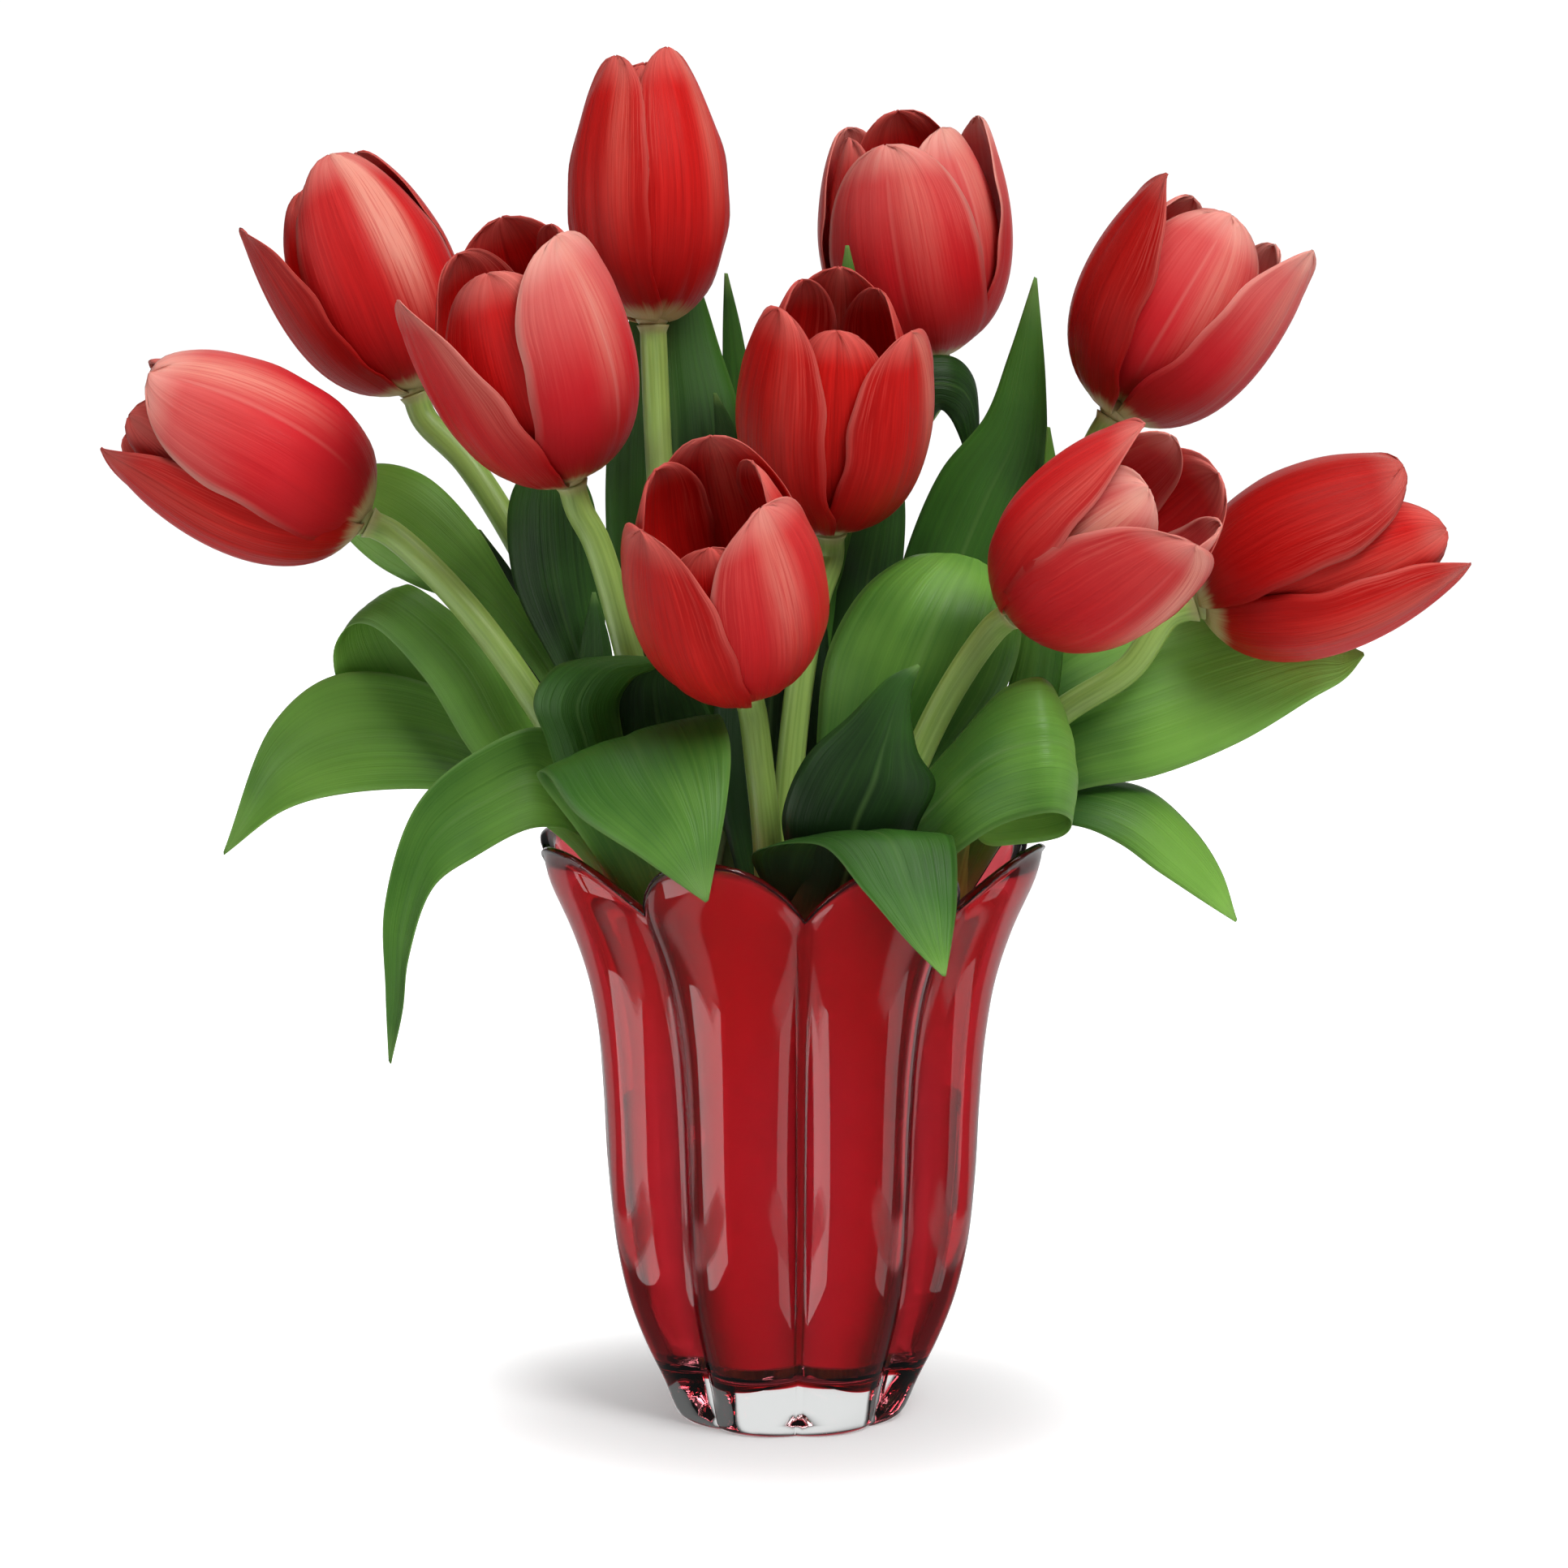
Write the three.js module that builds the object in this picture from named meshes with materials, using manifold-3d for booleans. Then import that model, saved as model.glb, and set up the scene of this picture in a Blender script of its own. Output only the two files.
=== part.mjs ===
// Ten red tulips standing in a lobed glass vase.
// Millimetres, +Z up, origin at the centre of the vase's foot, front towards -Y.
import * as THREE from "three";
import { mergeVertices } from "three/addons/utils/BufferGeometryUtils.js";
import Module from "manifold-3d";

const wasm = await Module();
wasm.setup();

// Vase: overall sizes
const VASE_HEIGHT = 171;
const VASE_FLOOR = 17;
const LOBES = 8;
const FIRST_GROOVE = 4; // degrees from the front towards +X
const POINTS_PER_LOBE = 4;
const LOBE_FULLNESS = 0.8;
const RIM_DIP = 17; // how far the rim drops between two lobes
const RIM_DIP_START = 95; // height from which the rings follow the scalloped rim
const RIM_DIP_SHARPNESS = 2.3;
const WALL = 4.6;
const LIP_ROUNDING = 1.3;

// Vase: outer radius at the middle of a lobe and at a groove, by height
const VASE_OUTLINE = [
  { z: 0, crest: 33, groove: 31 },
  { z: 2, crest: 34.4, groove: 31.8 },
  { z: 12, crest: 39, groove: 34.2 },
  { z: 23, crest: 44.5, groove: 37.5 },
  { z: 36, crest: 49.7, groove: 41 },
  { z: 52, crest: 53.6, groove: 43.3 },
  { z: 72, crest: 55.9, groove: 44.4 },
  { z: 94, crest: 57.1, groove: 45.7 },
  { z: 114, crest: 58.8, groove: 48 },
  { z: 131, crest: 61.8, groove: 52.2 },
  { z: 145, crest: 66.4, groove: 58.3 },
  { z: 158, crest: 72.2, groove: 65.5 },
  { z: 171, crest: 77.5, groove: 72.5 },
];

// Water: its surface and its clearance to the glass and to the stems
const WATER_LEVEL = 96;
const CLEARANCE = 0.35;
const HOLE_CLEARANCE = 0.4;
const HOLE_DEPTH = 3; // how far a hole runs on past the stem's cut end, out of the water's bottom

// Stems: round, cut flat just above the vase's floor, slightly thinner at the top
const STEM_SIDES = 7;
const STEM_STEPS = 7;
const STEM_RADIUS_FOOT = 4.3;
const STEM_RADIUS_TOP = 3.9;
const NECK_LENGTH = 8; // the straight neck below a bloom
const SEAT_GAP = 0.3;

// Blades: thickness and the fineness of their grids
const LEAF_THICKNESS = 0.9;
const LEAF_ROOT_WIDTH = 7;
const LEAF_COLUMNS = [{ over: 37, columns: 4 }, { over: 20, columns: 3 }, { over: 0, columns: 2 }]; // by leaf width
const PETAL_THICKNESS = 0.8;
const PETAL_LEAST_CURVE = 13; // smallest radius of a petal's hollow towards its tip
const PETAL_WIDEST = 0.5; // share of its length where a petal is widest
const PETAL_TIP_WIDTH = 9;
const PETAL_REACH = 1.1; // most that half a petal's width may be, as a share of its distance from the axis
const PETAL_TUCK = 0.9; // how far one edge lies inside and the other outside the next petals, near the root
const OUTER_PETAL = { rootRadius: 4.6, rootHeight: 1.5, lift: 0, columns: 4, rows: [0, 0.22, 0.5, 0.78, 1] };
const INNER_PETAL = { rootRadius: 3.6, rootHeight: 5.4, lift: 3, columns: 3, rows: [0, 0.26, 0.56, 0.84, 1] };
const BLADE_TIP_WIDTH = 1;

// Bloom base and pistil: half outline from the stem up to the stigma
const CORE_OUTLINE = [
  [0, 0],
  [4.7, 0],
  [6.4, 3.4],
  [2.8, 9.4],
  [3.4, 25],
  [0, 26],
];
const CORE_SIDES = 5;

const GLASS = { color: 0xa3121c, roughness: 0.05, metalness: 0, transparent: true, opacity: 0.45 };
const CLEAR_WATER = { color: 0xdfe9e6, roughness: 0.02, metalness: 0, transparent: true, opacity: 0.3 };
const LEAF_GREEN = { color: 0x4e8c3a, roughness: 0.55, metalness: 0 };
const PETAL_RED = { color: 0xc41e22, roughness: 0.5, metalness: 0 };

// Stems: foot on the vase's floor, then points on the way up to the bloom
const STEMS = {
  a: { foot: [-8, 6], path: [[-28, 14, 171], [-34, 18, 225], [-38, 22, 275]] },
  b: { foot: [5, 14], path: [[15, 32, 171], [19, 46, 246], [28, 52, 274]] },
  c: { foot: [16, 7], path: [[40, 14, 171], [55, 16, 211], [76, 15, 253]] },
  d: { foot: [-18, 13], path: [[-46, 20, 171], [-71, 27, 236], [-95, 33, 277]] },
  e: { foot: [-12, -13], path: [[-34, -24, 171], [-45, -26, 223], [-54, -30, 256]] },
  f: { foot: [-18, -6], path: [[-52, -13, 173], [-76, -13, 215], [-95, -11, 240]] },
  g: { foot: [0, -3], path: [[-1, -8, 171], [4, -5, 221], [8, 0, 239]] },
  h: { foot: [-2, -21], path: [[-6, -44, 171], [-8.5, -51, 196]] },
  i: { foot: [12, -15], path: [[28, -30, 171], [41, -34, 207]] },
  j: { foot: [22, -4], path: [[54, -4, 178], [77, -4, 205], [98, -4, 219]] },
};

// Blooms: where the stem ends, the way the bloom points, and its petals, three outer and three inner.
// turn: degrees from the front towards the right of the bloom; length, half width and belly radius in mm;
// tip: distance of the petal's tip from the bloom's axis; point: 0.48 round to 1 pointed.
const BLOOMS = {
  a: {
    base: [-40, 25, 318],
    axis: [-2.5, 2, 78],
    outer: [
      { turn: -42, length: 77, half: 18, belly: 24, tip: 12 },
      { turn: 41, length: 79, half: 18, belly: 24, tip: 11 },
      { turn: 180, length: 77, half: 23, belly: 24, tip: 10 },
    ],
    inner: [
      { turn: -108, length: 75, half: 21, belly: 21.8, tip: 10 },
      { turn: 108, length: 76, half: 21, belly: 21.8, tip: 10 },
      { turn: 0, length: 74, half: 17, belly: 21.4, tip: 8 },
    ],
  },
  b: {
    base: [44, 60, 309],
    axis: [-12, -14, 66],
    outer: [
      { turn: -15, length: 68, half: 27, belly: 27.5, tip: 18 },
      { turn: 104, length: 68, half: 24, belly: 27, tip: 26 },
      { turn: -128, length: 71, half: 25, belly: 28.4, tip: 18 },
    ],
    inner: [
      { turn: 48, length: 69, half: 24, belly: 25, tip: 17 },
      { turn: 172, length: 73, half: 25, belly: 25.4, tip: 14 },
      { turn: -72, length: 70, half: 23, belly: 25.8, tip: 15 },
    ],
  },
  c: {
    base: [94, 15, 291],
    axis: [34, -7, 59],
    outer: [
      { turn: -70, length: 68, half: 25, belly: 27.6, tip: 24, point: 0.85 },
      { turn: 64, length: 70, half: 26, belly: 27.6, tip: 27, point: 0.75 },
      { turn: 176, length: 67, half: 25, belly: 27, tip: 18 },
    ],
    inner: [
      { turn: -4, length: 67, half: 24, belly: 25.2, tip: 17 },
      { turn: 112, length: 66, half: 22, belly: 25, tip: 17 },
      { turn: -128, length: 66, half: 22, belly: 25, tip: 15 },
    ],
  },
  d: {
    base: [-111, 36, 298],
    axis: [-24, -3, 62],
    outer: [
      { turn: 18, length: 73, half: 27, belly: 26.6, tip: 12 },
      { turn: -76, length: 63, half: 24, belly: 25.5, tip: 30, point: 0.6 },
      { turn: 138, length: 72, half: 25, belly: 26.6, tip: 14 },
    ],
    inner: [
      { turn: 78, length: 70, half: 22, belly: 24.2, tip: 10 },
      { turn: -32, length: 66, half: 21, belly: 24, tip: 15 },
      { turn: -150, length: 68, half: 22, belly: 24.2, tip: 13 },
    ],
  },
  e: {
    base: [-61, -34.5, 273],
    axis: [-17, -19.8, 59],
    outer: [
      { turn: 50, length: 72, half: 27, belly: 27, tip: 22 },
      { turn: -64, length: 67, half: 25, belly: 26, tip: 32, point: 0.9 },
      { turn: 172, length: 73, half: 26, belly: 27, tip: 18 },
    ],
    inner: [
      { turn: -12, length: 68, half: 24, belly: 25, tip: 17 },
      { turn: 112, length: 70, half: 23, belly: 24.8, tip: 17 },
      { turn: -136, length: 68, half: 24, belly: 25, tip: 17 },
    ],
  },
  f: {
    base: [-121, -6, 261],
    axis: [-64, -9, 33],
    outer: [
      { turn: 36, length: 73, half: 28, belly: 28.4, tip: 19 },
      { turn: -66, length: 76, half: 26, belly: 26.4, tip: 16, point: 0.9 },
      { turn: 160, length: 70, half: 25, belly: 27.5, tip: 19 },
    ],
    inner: [
      { turn: -16, length: 73, half: 22, belly: 25, tip: 10 },
      { turn: 104, length: 75, half: 22, belly: 25.4, tip: 13 },
      { turn: -128, length: 72, half: 22, belly: 25, tip: 13 },
    ],
  },
  g: {
    base: [12, 5, 258],
    axis: [2, -22, 64],
    outer: [
      { turn: -58, length: 70, half: 26, belly: 27.6, tip: 20 },
      { turn: 58, length: 65, half: 25, belly: 25.6, tip: 24 },
      { turn: 180, length: 75, half: 24, belly: 26.6, tip: 14 },
    ],
    inner: [
      { turn: -2, length: 66, half: 20, belly: 24.4, tip: 17 },
      { turn: 122, length: 71, half: 23, belly: 23.6, tip: 13 },
      { turn: -122, length: 73, half: 24, belly: 24.4, tip: 13 },
    ],
  },
  h: {
    base: [-11.5, -62, 217],
    axis: [-10.5, -34, 56],
    outer: [
      { turn: 42, length: 66, half: 26, belly: 25.6, tip: 20 },
      { turn: -58, length: 64, half: 26, belly: 25.6, tip: 22 },
      { turn: 168, length: 71, half: 25, belly: 26, tip: 17 },
    ],
    inner: [
      { turn: -6, length: 58, half: 20, belly: 23.6, tip: 17 },
      { turn: 104, length: 68, half: 23, belly: 23.6, tip: 14 },
      { turn: -122, length: 69, half: 24, belly: 24.4, tip: 15 },
    ],
  },
  i: {
    base: [62, -45, 237],
    axis: [42.8, -30, 36.9],
    outer: [
      { turn: -74, length: 69, half: 26, belly: 25.6, tip: 19, point: 0.8 },
      { turn: 40, length: 63, half: 28, belly: 25.2, tip: 22 },
      { turn: 160, length: 66, half: 24, belly: 25, tip: 19 },
    ],
    inner: [
      { turn: -20, length: 62, half: 22, belly: 23, tip: 15 },
      { turn: 98, length: 63, half: 23, belly: 23, tip: 17 },
      { turn: -138, length: 65, half: 22, belly: 23, tip: 16 },
    ],
  },
  j: {
    base: [117, -5, 237],
    axis: [66, -3, 23.4],
    outer: [
      { turn: -56, length: 67, half: 28, belly: 27.2, tip: 23 },
      { turn: 70, length: 77, half: 26, belly: 26.5, tip: 15, point: 0.8 },
      { turn: -178, length: 68, half: 25, belly: 27, tip: 17 },
    ],
    inner: [
      { turn: 12, length: 73, half: 23, belly: 25, tip: 11 },
      { turn: 132, length: 69, half: 23, belly: 25, tip: 13 },
      { turn: -114, length: 67, half: 23, belly: 25, tip: 14 },
    ],
  },
};

// Leaves: the stem that each grows from, the height of its root on it, how far its blade is hollowed, as a share
// of its width, and pairs of points on its left and right edges from near the root to the tip.
const LEAVES = [
  // tall broad leaf behind the top bloom's stem
  { stem: "a", root: 125, hollow: 0.12, tip: [-32, 52, 342],
    edges: [[[-38, 34, 183], [-14, 34, 183]], [[-51, 42, 222], [-10, 42, 222]], [[-55, 47, 260], [-12, 47, 260]],
      [[-54, 50, 289], [-14, 50, 289]], [[-50, 51, 314], [-21, 52, 312]], [[-42, 52, 331], [-26, 52, 328]]] },
  // narrow upright leaf beside it
  { stem: "a", root: 150, hollow: 0.15, tip: [-19, 58, 334],
    edges: [[[-23, 50, 201], [-12, 52, 201]], [[-21, 56, 245], [-9, 56, 245]], [[-20, 58, 289], [-10, 58, 289]],
      [[-20, 58, 316], [-14, 58, 315]]] },
  // short narrow leaf in front of the tall one
  { stem: "a", root: 170, hollow: 0.15, tip: [-22, 34, 298],
    edges: [[[-30, 30, 222], [-17, 30, 222]], [[-24, 33, 258], [-11, 33, 258]], [[-22, 34, 285], [-15, 34, 285]]] },
  // broad dark leaf behind the centre bloom
  { stem: "b", root: 125, hollow: 0.12, tip: [28, 29, 292],
    edges: [[[-2, 22, 175], [19, 22, 175]], [[7, 25, 211], [29, 25, 211]], [[13, 27, 242], [33, 26, 242]],
      [[21, 28, 268], [34, 27, 268]]] },
  // narrow leaf whose tip stands above the centre bloom
  { stem: "b", root: 150, hollow: 0.12, tip: [17, 28, 341],
    edges: [[[7, 24, 223], [19, 30, 222]], [[9, 27, 266], [21, 28, 266]], [[12, 28, 301], [22, 28, 301]],
      [[14, 28, 325], [21, 28, 325]]] },
  // short leaf arching out under the top right bloom
  { stem: "b", root: 215, hollow: 0.15, tip: [55, 50, 272],
    edges: [[[25, 44, 265], [33, 44, 264]], [[29, 44, 289], [41, 44, 285]], [[37, 42, 307], [45, 43, 293]],
      [[48, 44, 309], [48, 44, 291]], [[55, 50, 303], [51, 48, 285]], [[57, 51, 293], [53, 49, 279]]] },
  // tall pointed leaf between the right blooms
  { stem: "c", root: 125, hollow: 0.12, tip: [73, 38, 332],
    edges: [[[24, 26, 180], [44, 21, 180]], [[27, 31, 218], [58, 25, 215]], [[34, 34, 249], [65, 29, 239]],
      [[45, 35, 275], [72, 31, 258]], [[58, 35, 291], [76, 33, 279]], [[65, 37, 309], [76, 35, 301]]] },
  // small bright tip beside it
  { stem: "c", root: 215, hollow: 0.15, tip: [76, 22, 288],
    edges: [[[71, 22, 244], [78, 22, 247]], [[74, 22, 268], [80, 22, 266]]] },
  // leaf drooping to the right
  { stem: "c", root: 112, hollow: 0.14, tip: [130, 0, 145],
    edges: [[[50, 18, 160], [55, 8, 155]], [[68, 16, 180], [67, 1, 172]], [[87, 13, 185], [83, -4, 173]],
      [[104, 11, 183], [96, -5, 168]], [[118, 8, 171], [107, -5, 160]], [[126, 4, 159], [120, -3, 151]]] },
  // upright leaf behind the left centre stem
  { stem: "d", root: 120, hollow: 0.14, tip: [-66, 3, 283],
    edges: [[[-53, 12, 178], [-43, 10, 178]], [[-57, 8, 198], [-46, 6, 198]], [[-68, 3, 219], [-52, 3, 216]],
      [[-80, 6, 244], [-54, 3, 243]], [[-80, 6, 270], [-57, 3, 268]]] },
  // dark leaf behind the far left stem
  { stem: "d", root: 135, hollow: 0.12, tip: [-91, 22, 258],
    edges: [[[-74, 22, 199], [-64, 20, 199]], [[-80, 24, 220], [-69, 20, 218]], [[-88, 25, 243], [-79, 20, 242]]] },
  // low leaf reaching out to the left
  { stem: "d", root: 115, hollow: 0.14, tip: [-164, -2, 165],
    edges: [[[-64, 18, 179], [-61, 8, 169]], [[-81, 20, 198], [-81, 6, 179]], [[-110, 22, 214], [-104, 6, 183]],
      [[-134, 20, 215], [-129, 4, 182]], [[-151, 14, 202], [-147, 1, 177]]] },
  // short leaf bent over at the left front
  { stem: "e", root: 135, hollow: 0.18, tip: [-34, -42, 224],
    edges: [[[-62, -36, 184], [-42, -34, 186]], [[-68, -42, 202], [-47, -40, 205]], [[-71, -45, 213], [-47, -43, 213]],
      [[-65, -46, 222], [-43, -44, 219]], [[-48, -44, 225], [-38, -43, 221]]] },
  // broad leaf folded over the front left of the rim
  { stem: "e", root: 105, hollow: -0.05, tip: [-22, -96, 163],
    edges: [[[-41, -34, 146], [-24, -37, 148]], [[-57, -42, 173], [-23, -47, 178]], [[-69, -62, 193], [-21, -57, 208]],
      [[-66, -69, 194], [-19, -65, 210]], [[-58, -79, 185], [-16, -76, 203]], [[-40, -89, 174], [-17, -87, 188]]] },
  // small pointed leaf beside the left centre stem
  { stem: "e", root: 165, hollow: 0.15, tip: [-56, -8, 241],
    edges: [[[-62, -10, 206], [-49, -12, 206]], [[-60, -8, 225], [-51, -9, 225]]] },
  // leaf that loops over itself at the left
  { stem: "f", root: 118, hollow: 0.1, tip: [-100, 27, 185],
    edges: [[[-58, -1, 160], [-50, -1, 163]], [[-77, 1, 178], [-62, 3, 184]], [[-92, 0, 194], [-75, 3, 203]], [[-105, 0, 215], [-86, 3, 224]],
      [[-120, 4, 230], [-107, 7, 241]], [[-128, 11, 230], [-112, 14, 242]], [[-134, 19, 222], [-112, 21, 238]],
      [[-132, 25, 209], [-106, 26, 226]], [[-119, 27, 194], [-92, 27, 204]]] },
  // broad leaf behind the far left stem
  { stem: "f", root: 135, hollow: 0.12, tip: [-139, 37, 270],
    edges: [[[-64, 3, 195], [-60, 4, 198]], [[-72, 10, 213], [-66, 12, 217]], [[-91, 14, 234], [-81, 16, 241]],
      [[-110, 17, 242], [-92, 20, 259]], [[-122, 24, 248], [-108, 27, 274]], [[-133, 31, 258], [-124, 34, 277]]] },
  // long leaf drooping over the left of the vase
  { stem: "f", root: 112, hollow: 0.2, tip: [-112, -45, 111],
    edges: [[[-55, -20, 183], [-55, -28, 169]], [[-69, -32, 204], [-70, -42, 177]], [[-89, -38, 197], [-88, -46, 169]],
      [[-104, -42, 183], [-99, -48, 161]], [[-113, -45, 155], [-106, -49, 141]], [[-113, -45, 131], [-108, -48, 126]]] },
  // big leaf with a rounded top right of the centre
  { stem: "g", root: 125, hollow: 0.12, tip: [58, 18, 240],
    edges: [[[8, -14, 176], [31, -18, 170]], [[8, -12, 200], [48, -18, 195]], [[11, -12, 224], [62, -18, 215]],
      [[21, -10, 242], [66, -16, 229]], [[32, -4, 250], [65, -10, 237]], [[42, 6, 251], [61, 0, 245]],
      [[50, 14, 247], [60, 10, 244]]] },
  // dark leaf behind the lower bloom's stem
  { stem: "g", root: 120, hollow: 0.1, tip: [-4, 12, 262],
    edges: [[[-20, 8, 178], [8, 8, 178]], [[-22, 12, 205], [11, 12, 205]], [[-17, 13, 235], [10, 13, 235]]] },
  // dark leaf between the left and centre stems
  { stem: "e", root: 120, hollow: 0.05, tip: [-35, -37, 224],
    edges: [[[-48, -34, 183], [-20, -33, 182]], [[-53, -36, 204], [-20, -33, 202]], [[-50, -37, 218], [-26, -35, 215]]] },
  // dark leaf with a curled tip at the front
  { stem: "h", root: 118, hollow: 0.16, tip: [35, -68, 224],
    edges: [[[-1, -54, 169], [32, -50, 169]], [[-2, -60, 183], [36, -54, 180]], [[4, -66, 198], [40, -57, 191]],
      [[16, -69, 210], [35, -62, 200]], [[27, -70, 221], [33, -66, 215]]] },
  // leaf hanging over the front of the rim
  { stem: "h", root: 112, hollow: -0.06, tip: [41, -96, 143],
    edges: [[[1, -45, 147], [20, -42, 147]], [[-8, -58, 164], [26, -54, 163]], [[-10, -64, 172], [43, -62, 176]],
      [[8, -73, 176], [45, -71, 175]], [[20, -84, 164], [45, -82, 161]], [[32, -92, 151], [43, -91, 150]]] },
  // ribbon leaf that loops round at the right front
  { stem: "i", root: 115, hollow: 0.1, tip: [48, -29, 189],
    edges: [[[32, -38, 181], [35, -42, 161]], [[47, -46, 203], [43, -52, 168]], [[59, -55, 217], [58, -64, 180]],
      [[68, -58, 220], [71, -69, 184]], [[73, -50, 215], [77, -60, 181]], [[72, -41, 211], [75, -48, 175]],
      [[65, -35, 208], [64, -40, 172]], [[55, -31, 203], [54, -35, 172]]] },
  // big leaf reaching out to the right
  { stem: "j", root: 118, hollow: 0.14, tip: [168, 12, 222],
    edges: [[[48, 12, 176], [49, 2, 166]], [[62, 18, 203], [65, 0, 176]], [[80, 22, 225], [84, 0, 183]],
      [[102, 26, 238], [106, 2, 187]], [[123, 28, 243], [131, 4, 197]], [[147, 28, 235], [151, 4, 209]],
      [[161, 22, 226], [163, 12, 215]]] },
  // upright strip behind the right centre bloom
  { stem: "j", root: 150, hollow: 0.14, tip: [74, -3, 248],
    edges: [[[54, -8, 181], [68, -6, 181]], [[61, -8, 206], [76, -4, 204]], [[67, -5, 230], [79, -2, 230]]] },
];

const vector = (p) => new THREE.Vector3(...p);

// A closed grid or ring mesh as a solid that can be joined and cut.
function solidFrom(points, faces) {
  const geometry = new THREE.BufferGeometry();
  geometry.setAttribute("position", new THREE.Float32BufferAttribute(points.flatMap((p) => p.toArray()), 3));
  geometry.setIndex(faces.flat());
  return solidOf(geometry);
}

function solidOf(geometry) {
  const bare = geometry.clone();
  bare.deleteAttribute("normal");
  bare.deleteAttribute("uv");
  const merged = mergeVertices(bare, 1e-4);
  return new wasm.Manifold(
    new wasm.Mesh({
      numProp: 3,
      vertProperties: merged.attributes.position.array,
      triVerts: new Uint32Array(merged.index.array),
    }),
  );
}

// The outer skin of a joined solid alone, so that no sealed pocket stays between crossing blades
function withoutPockets(solid) {
  const [whole] = solid.decompose().sort((one, other) => other.volume() - one.volume());
  return whole;
}

function meshOf(name, solid, look) {
  const made = solid.getMesh();
  const geometry = new THREE.BufferGeometry();
  geometry.setAttribute("position", new THREE.BufferAttribute(new Float32Array(made.vertProperties), 3));
  geometry.setIndex(new THREE.BufferAttribute(new Uint32Array(made.triVerts), 1));
  geometry.computeVertexNormals();
  const mesh = new THREE.Mesh(geometry, new THREE.MeshStandardMaterial(look));
  mesh.name = name;
  return mesh;
}

// Rings of equal point counts, skinned to one closed body; the first and last rings are closed by a middle point.
// The two ways to split a quad let the water's skin match the glass around it.
function skin(rings, firstMiddle, lastMiddle, splitOther = false) {
  const count = rings[0].length;
  const points = [...rings.flat(), firstMiddle, lastMiddle];
  const first = points.length - 2;
  const last = points.length - 1;
  const end = (rings.length - 1) * count;
  const faces = [];
  for (let j = 0; j < count; j++) {
    const k = (j + 1) % count;
    faces.push([first, k, j], [last, end + j, end + k]);
    for (let i = 0; i < rings.length - 1; i++) {
      const low = i * count;
      const high = low + count;
      if (splitOther) faces.push([low + j, low + k, high + j], [low + k, high + k, high + j]);
      else faces.push([low + j, low + k, high + k], [low + j, high + k, high + j]);
    }
  }
  return solidFrom(points, faces);
}

// A thin blade: a grid of rows and columns thickened evenly to both sides, with alike triangles on both faces.
function blade(grid, thickness) {
  const rows = grid.length;
  const columns = grid[0].length;
  const at = (i, j) => grid[Math.min(Math.max(i, 0), rows - 1)][Math.min(Math.max(j, 0), columns - 1)];
  const front = [];
  const back = [];
  grid.forEach((row, i) =>
    row.forEach((p, j) => {
      const along = at(i + 1, j).clone().sub(at(i - 1, j));
      const across = at(i, j + 1).clone().sub(at(i, j - 1));
      const offset = along.cross(across).setLength(thickness / 2);
      front.push(p.clone().add(offset));
      back.push(p.clone().sub(offset));
    }),
  );
  const faces = [];
  const size = rows * columns;
  const id = (i, j) => i * columns + j;
  for (let i = 0; i < rows - 1; i++) {
    for (let j = 0; j < columns - 1; j++) {
      const [a, b, c, d] = [id(i, j), id(i, j + 1), id(i + 1, j + 1), id(i + 1, j)];
      faces.push([a, c, b], [a, d, c], [size + a, size + b, size + c], [size + a, size + c, size + d]);
    }
  }
  const rim = [];
  for (let j = 0; j < columns - 1; j++) rim.push(id(0, j));
  for (let i = 0; i < rows - 1; i++) rim.push(id(i, columns - 1));
  for (let j = columns - 1; j > 0; j--) rim.push(id(rows - 1, j));
  for (let i = rows - 1; i > 0; i--) rim.push(id(i, 0));
  rim.forEach((a, n) => {
    const b = rim[(n + 1) % rim.length];
    faces.push([a, b, size + b], [a, size + b, size + a]);
  });
  return solidFrom([...front, ...back], faces);
}

// Vase outline at a height, between the listed heights
function outlineAt(z) {
  const above = Math.max(1, VASE_OUTLINE.findIndex((o) => o.z >= z));
  const [low, high] = [VASE_OUTLINE[above - 1], VASE_OUTLINE[above]];
  const share = (z - low.z) / (high.z - low.z);
  return {
    crest: THREE.MathUtils.lerp(low.crest, high.crest, share),
    groove: THREE.MathUtils.lerp(low.groove, high.groove, share),
  };
}

// A ring around the vase at a height, inset from its outer face, with the rings near the rim following its scallops
function vaseRing(height, inset, scale = 1) {
  const ring = [];
  const count = LOBES * POINTS_PER_LOBE;
  for (let n = 0; n < count; n++) {
    const inLobe = (n % POINTS_PER_LOBE) / POINTS_PER_LOBE;
    const fromCrest = Math.abs(2 * inLobe - 1);
    const lobe = Math.cos((Math.PI / 2) * fromCrest) ** LOBE_FULLNESS;
    const rise = Math.max(0, height - RIM_DIP_START) / (VASE_HEIGHT - RIM_DIP_START);
    const z = height - RIM_DIP * fromCrest ** RIM_DIP_SHARPNESS * rise ** 2;
    const { crest, groove } = outlineAt(z);
    const radius = (groove + (crest - groove) * lobe - inset) * scale;
    const angle = THREE.MathUtils.degToRad(FIRST_GROOVE + (360 / count) * n);
    ring.push(new THREE.Vector3(radius * Math.sin(angle), -radius * Math.cos(angle), z));
  }
  return ring;
}

const raise = (ring, by) => ring.map((p) => new THREE.Vector3(p.x, p.y, p.z + by));

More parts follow.
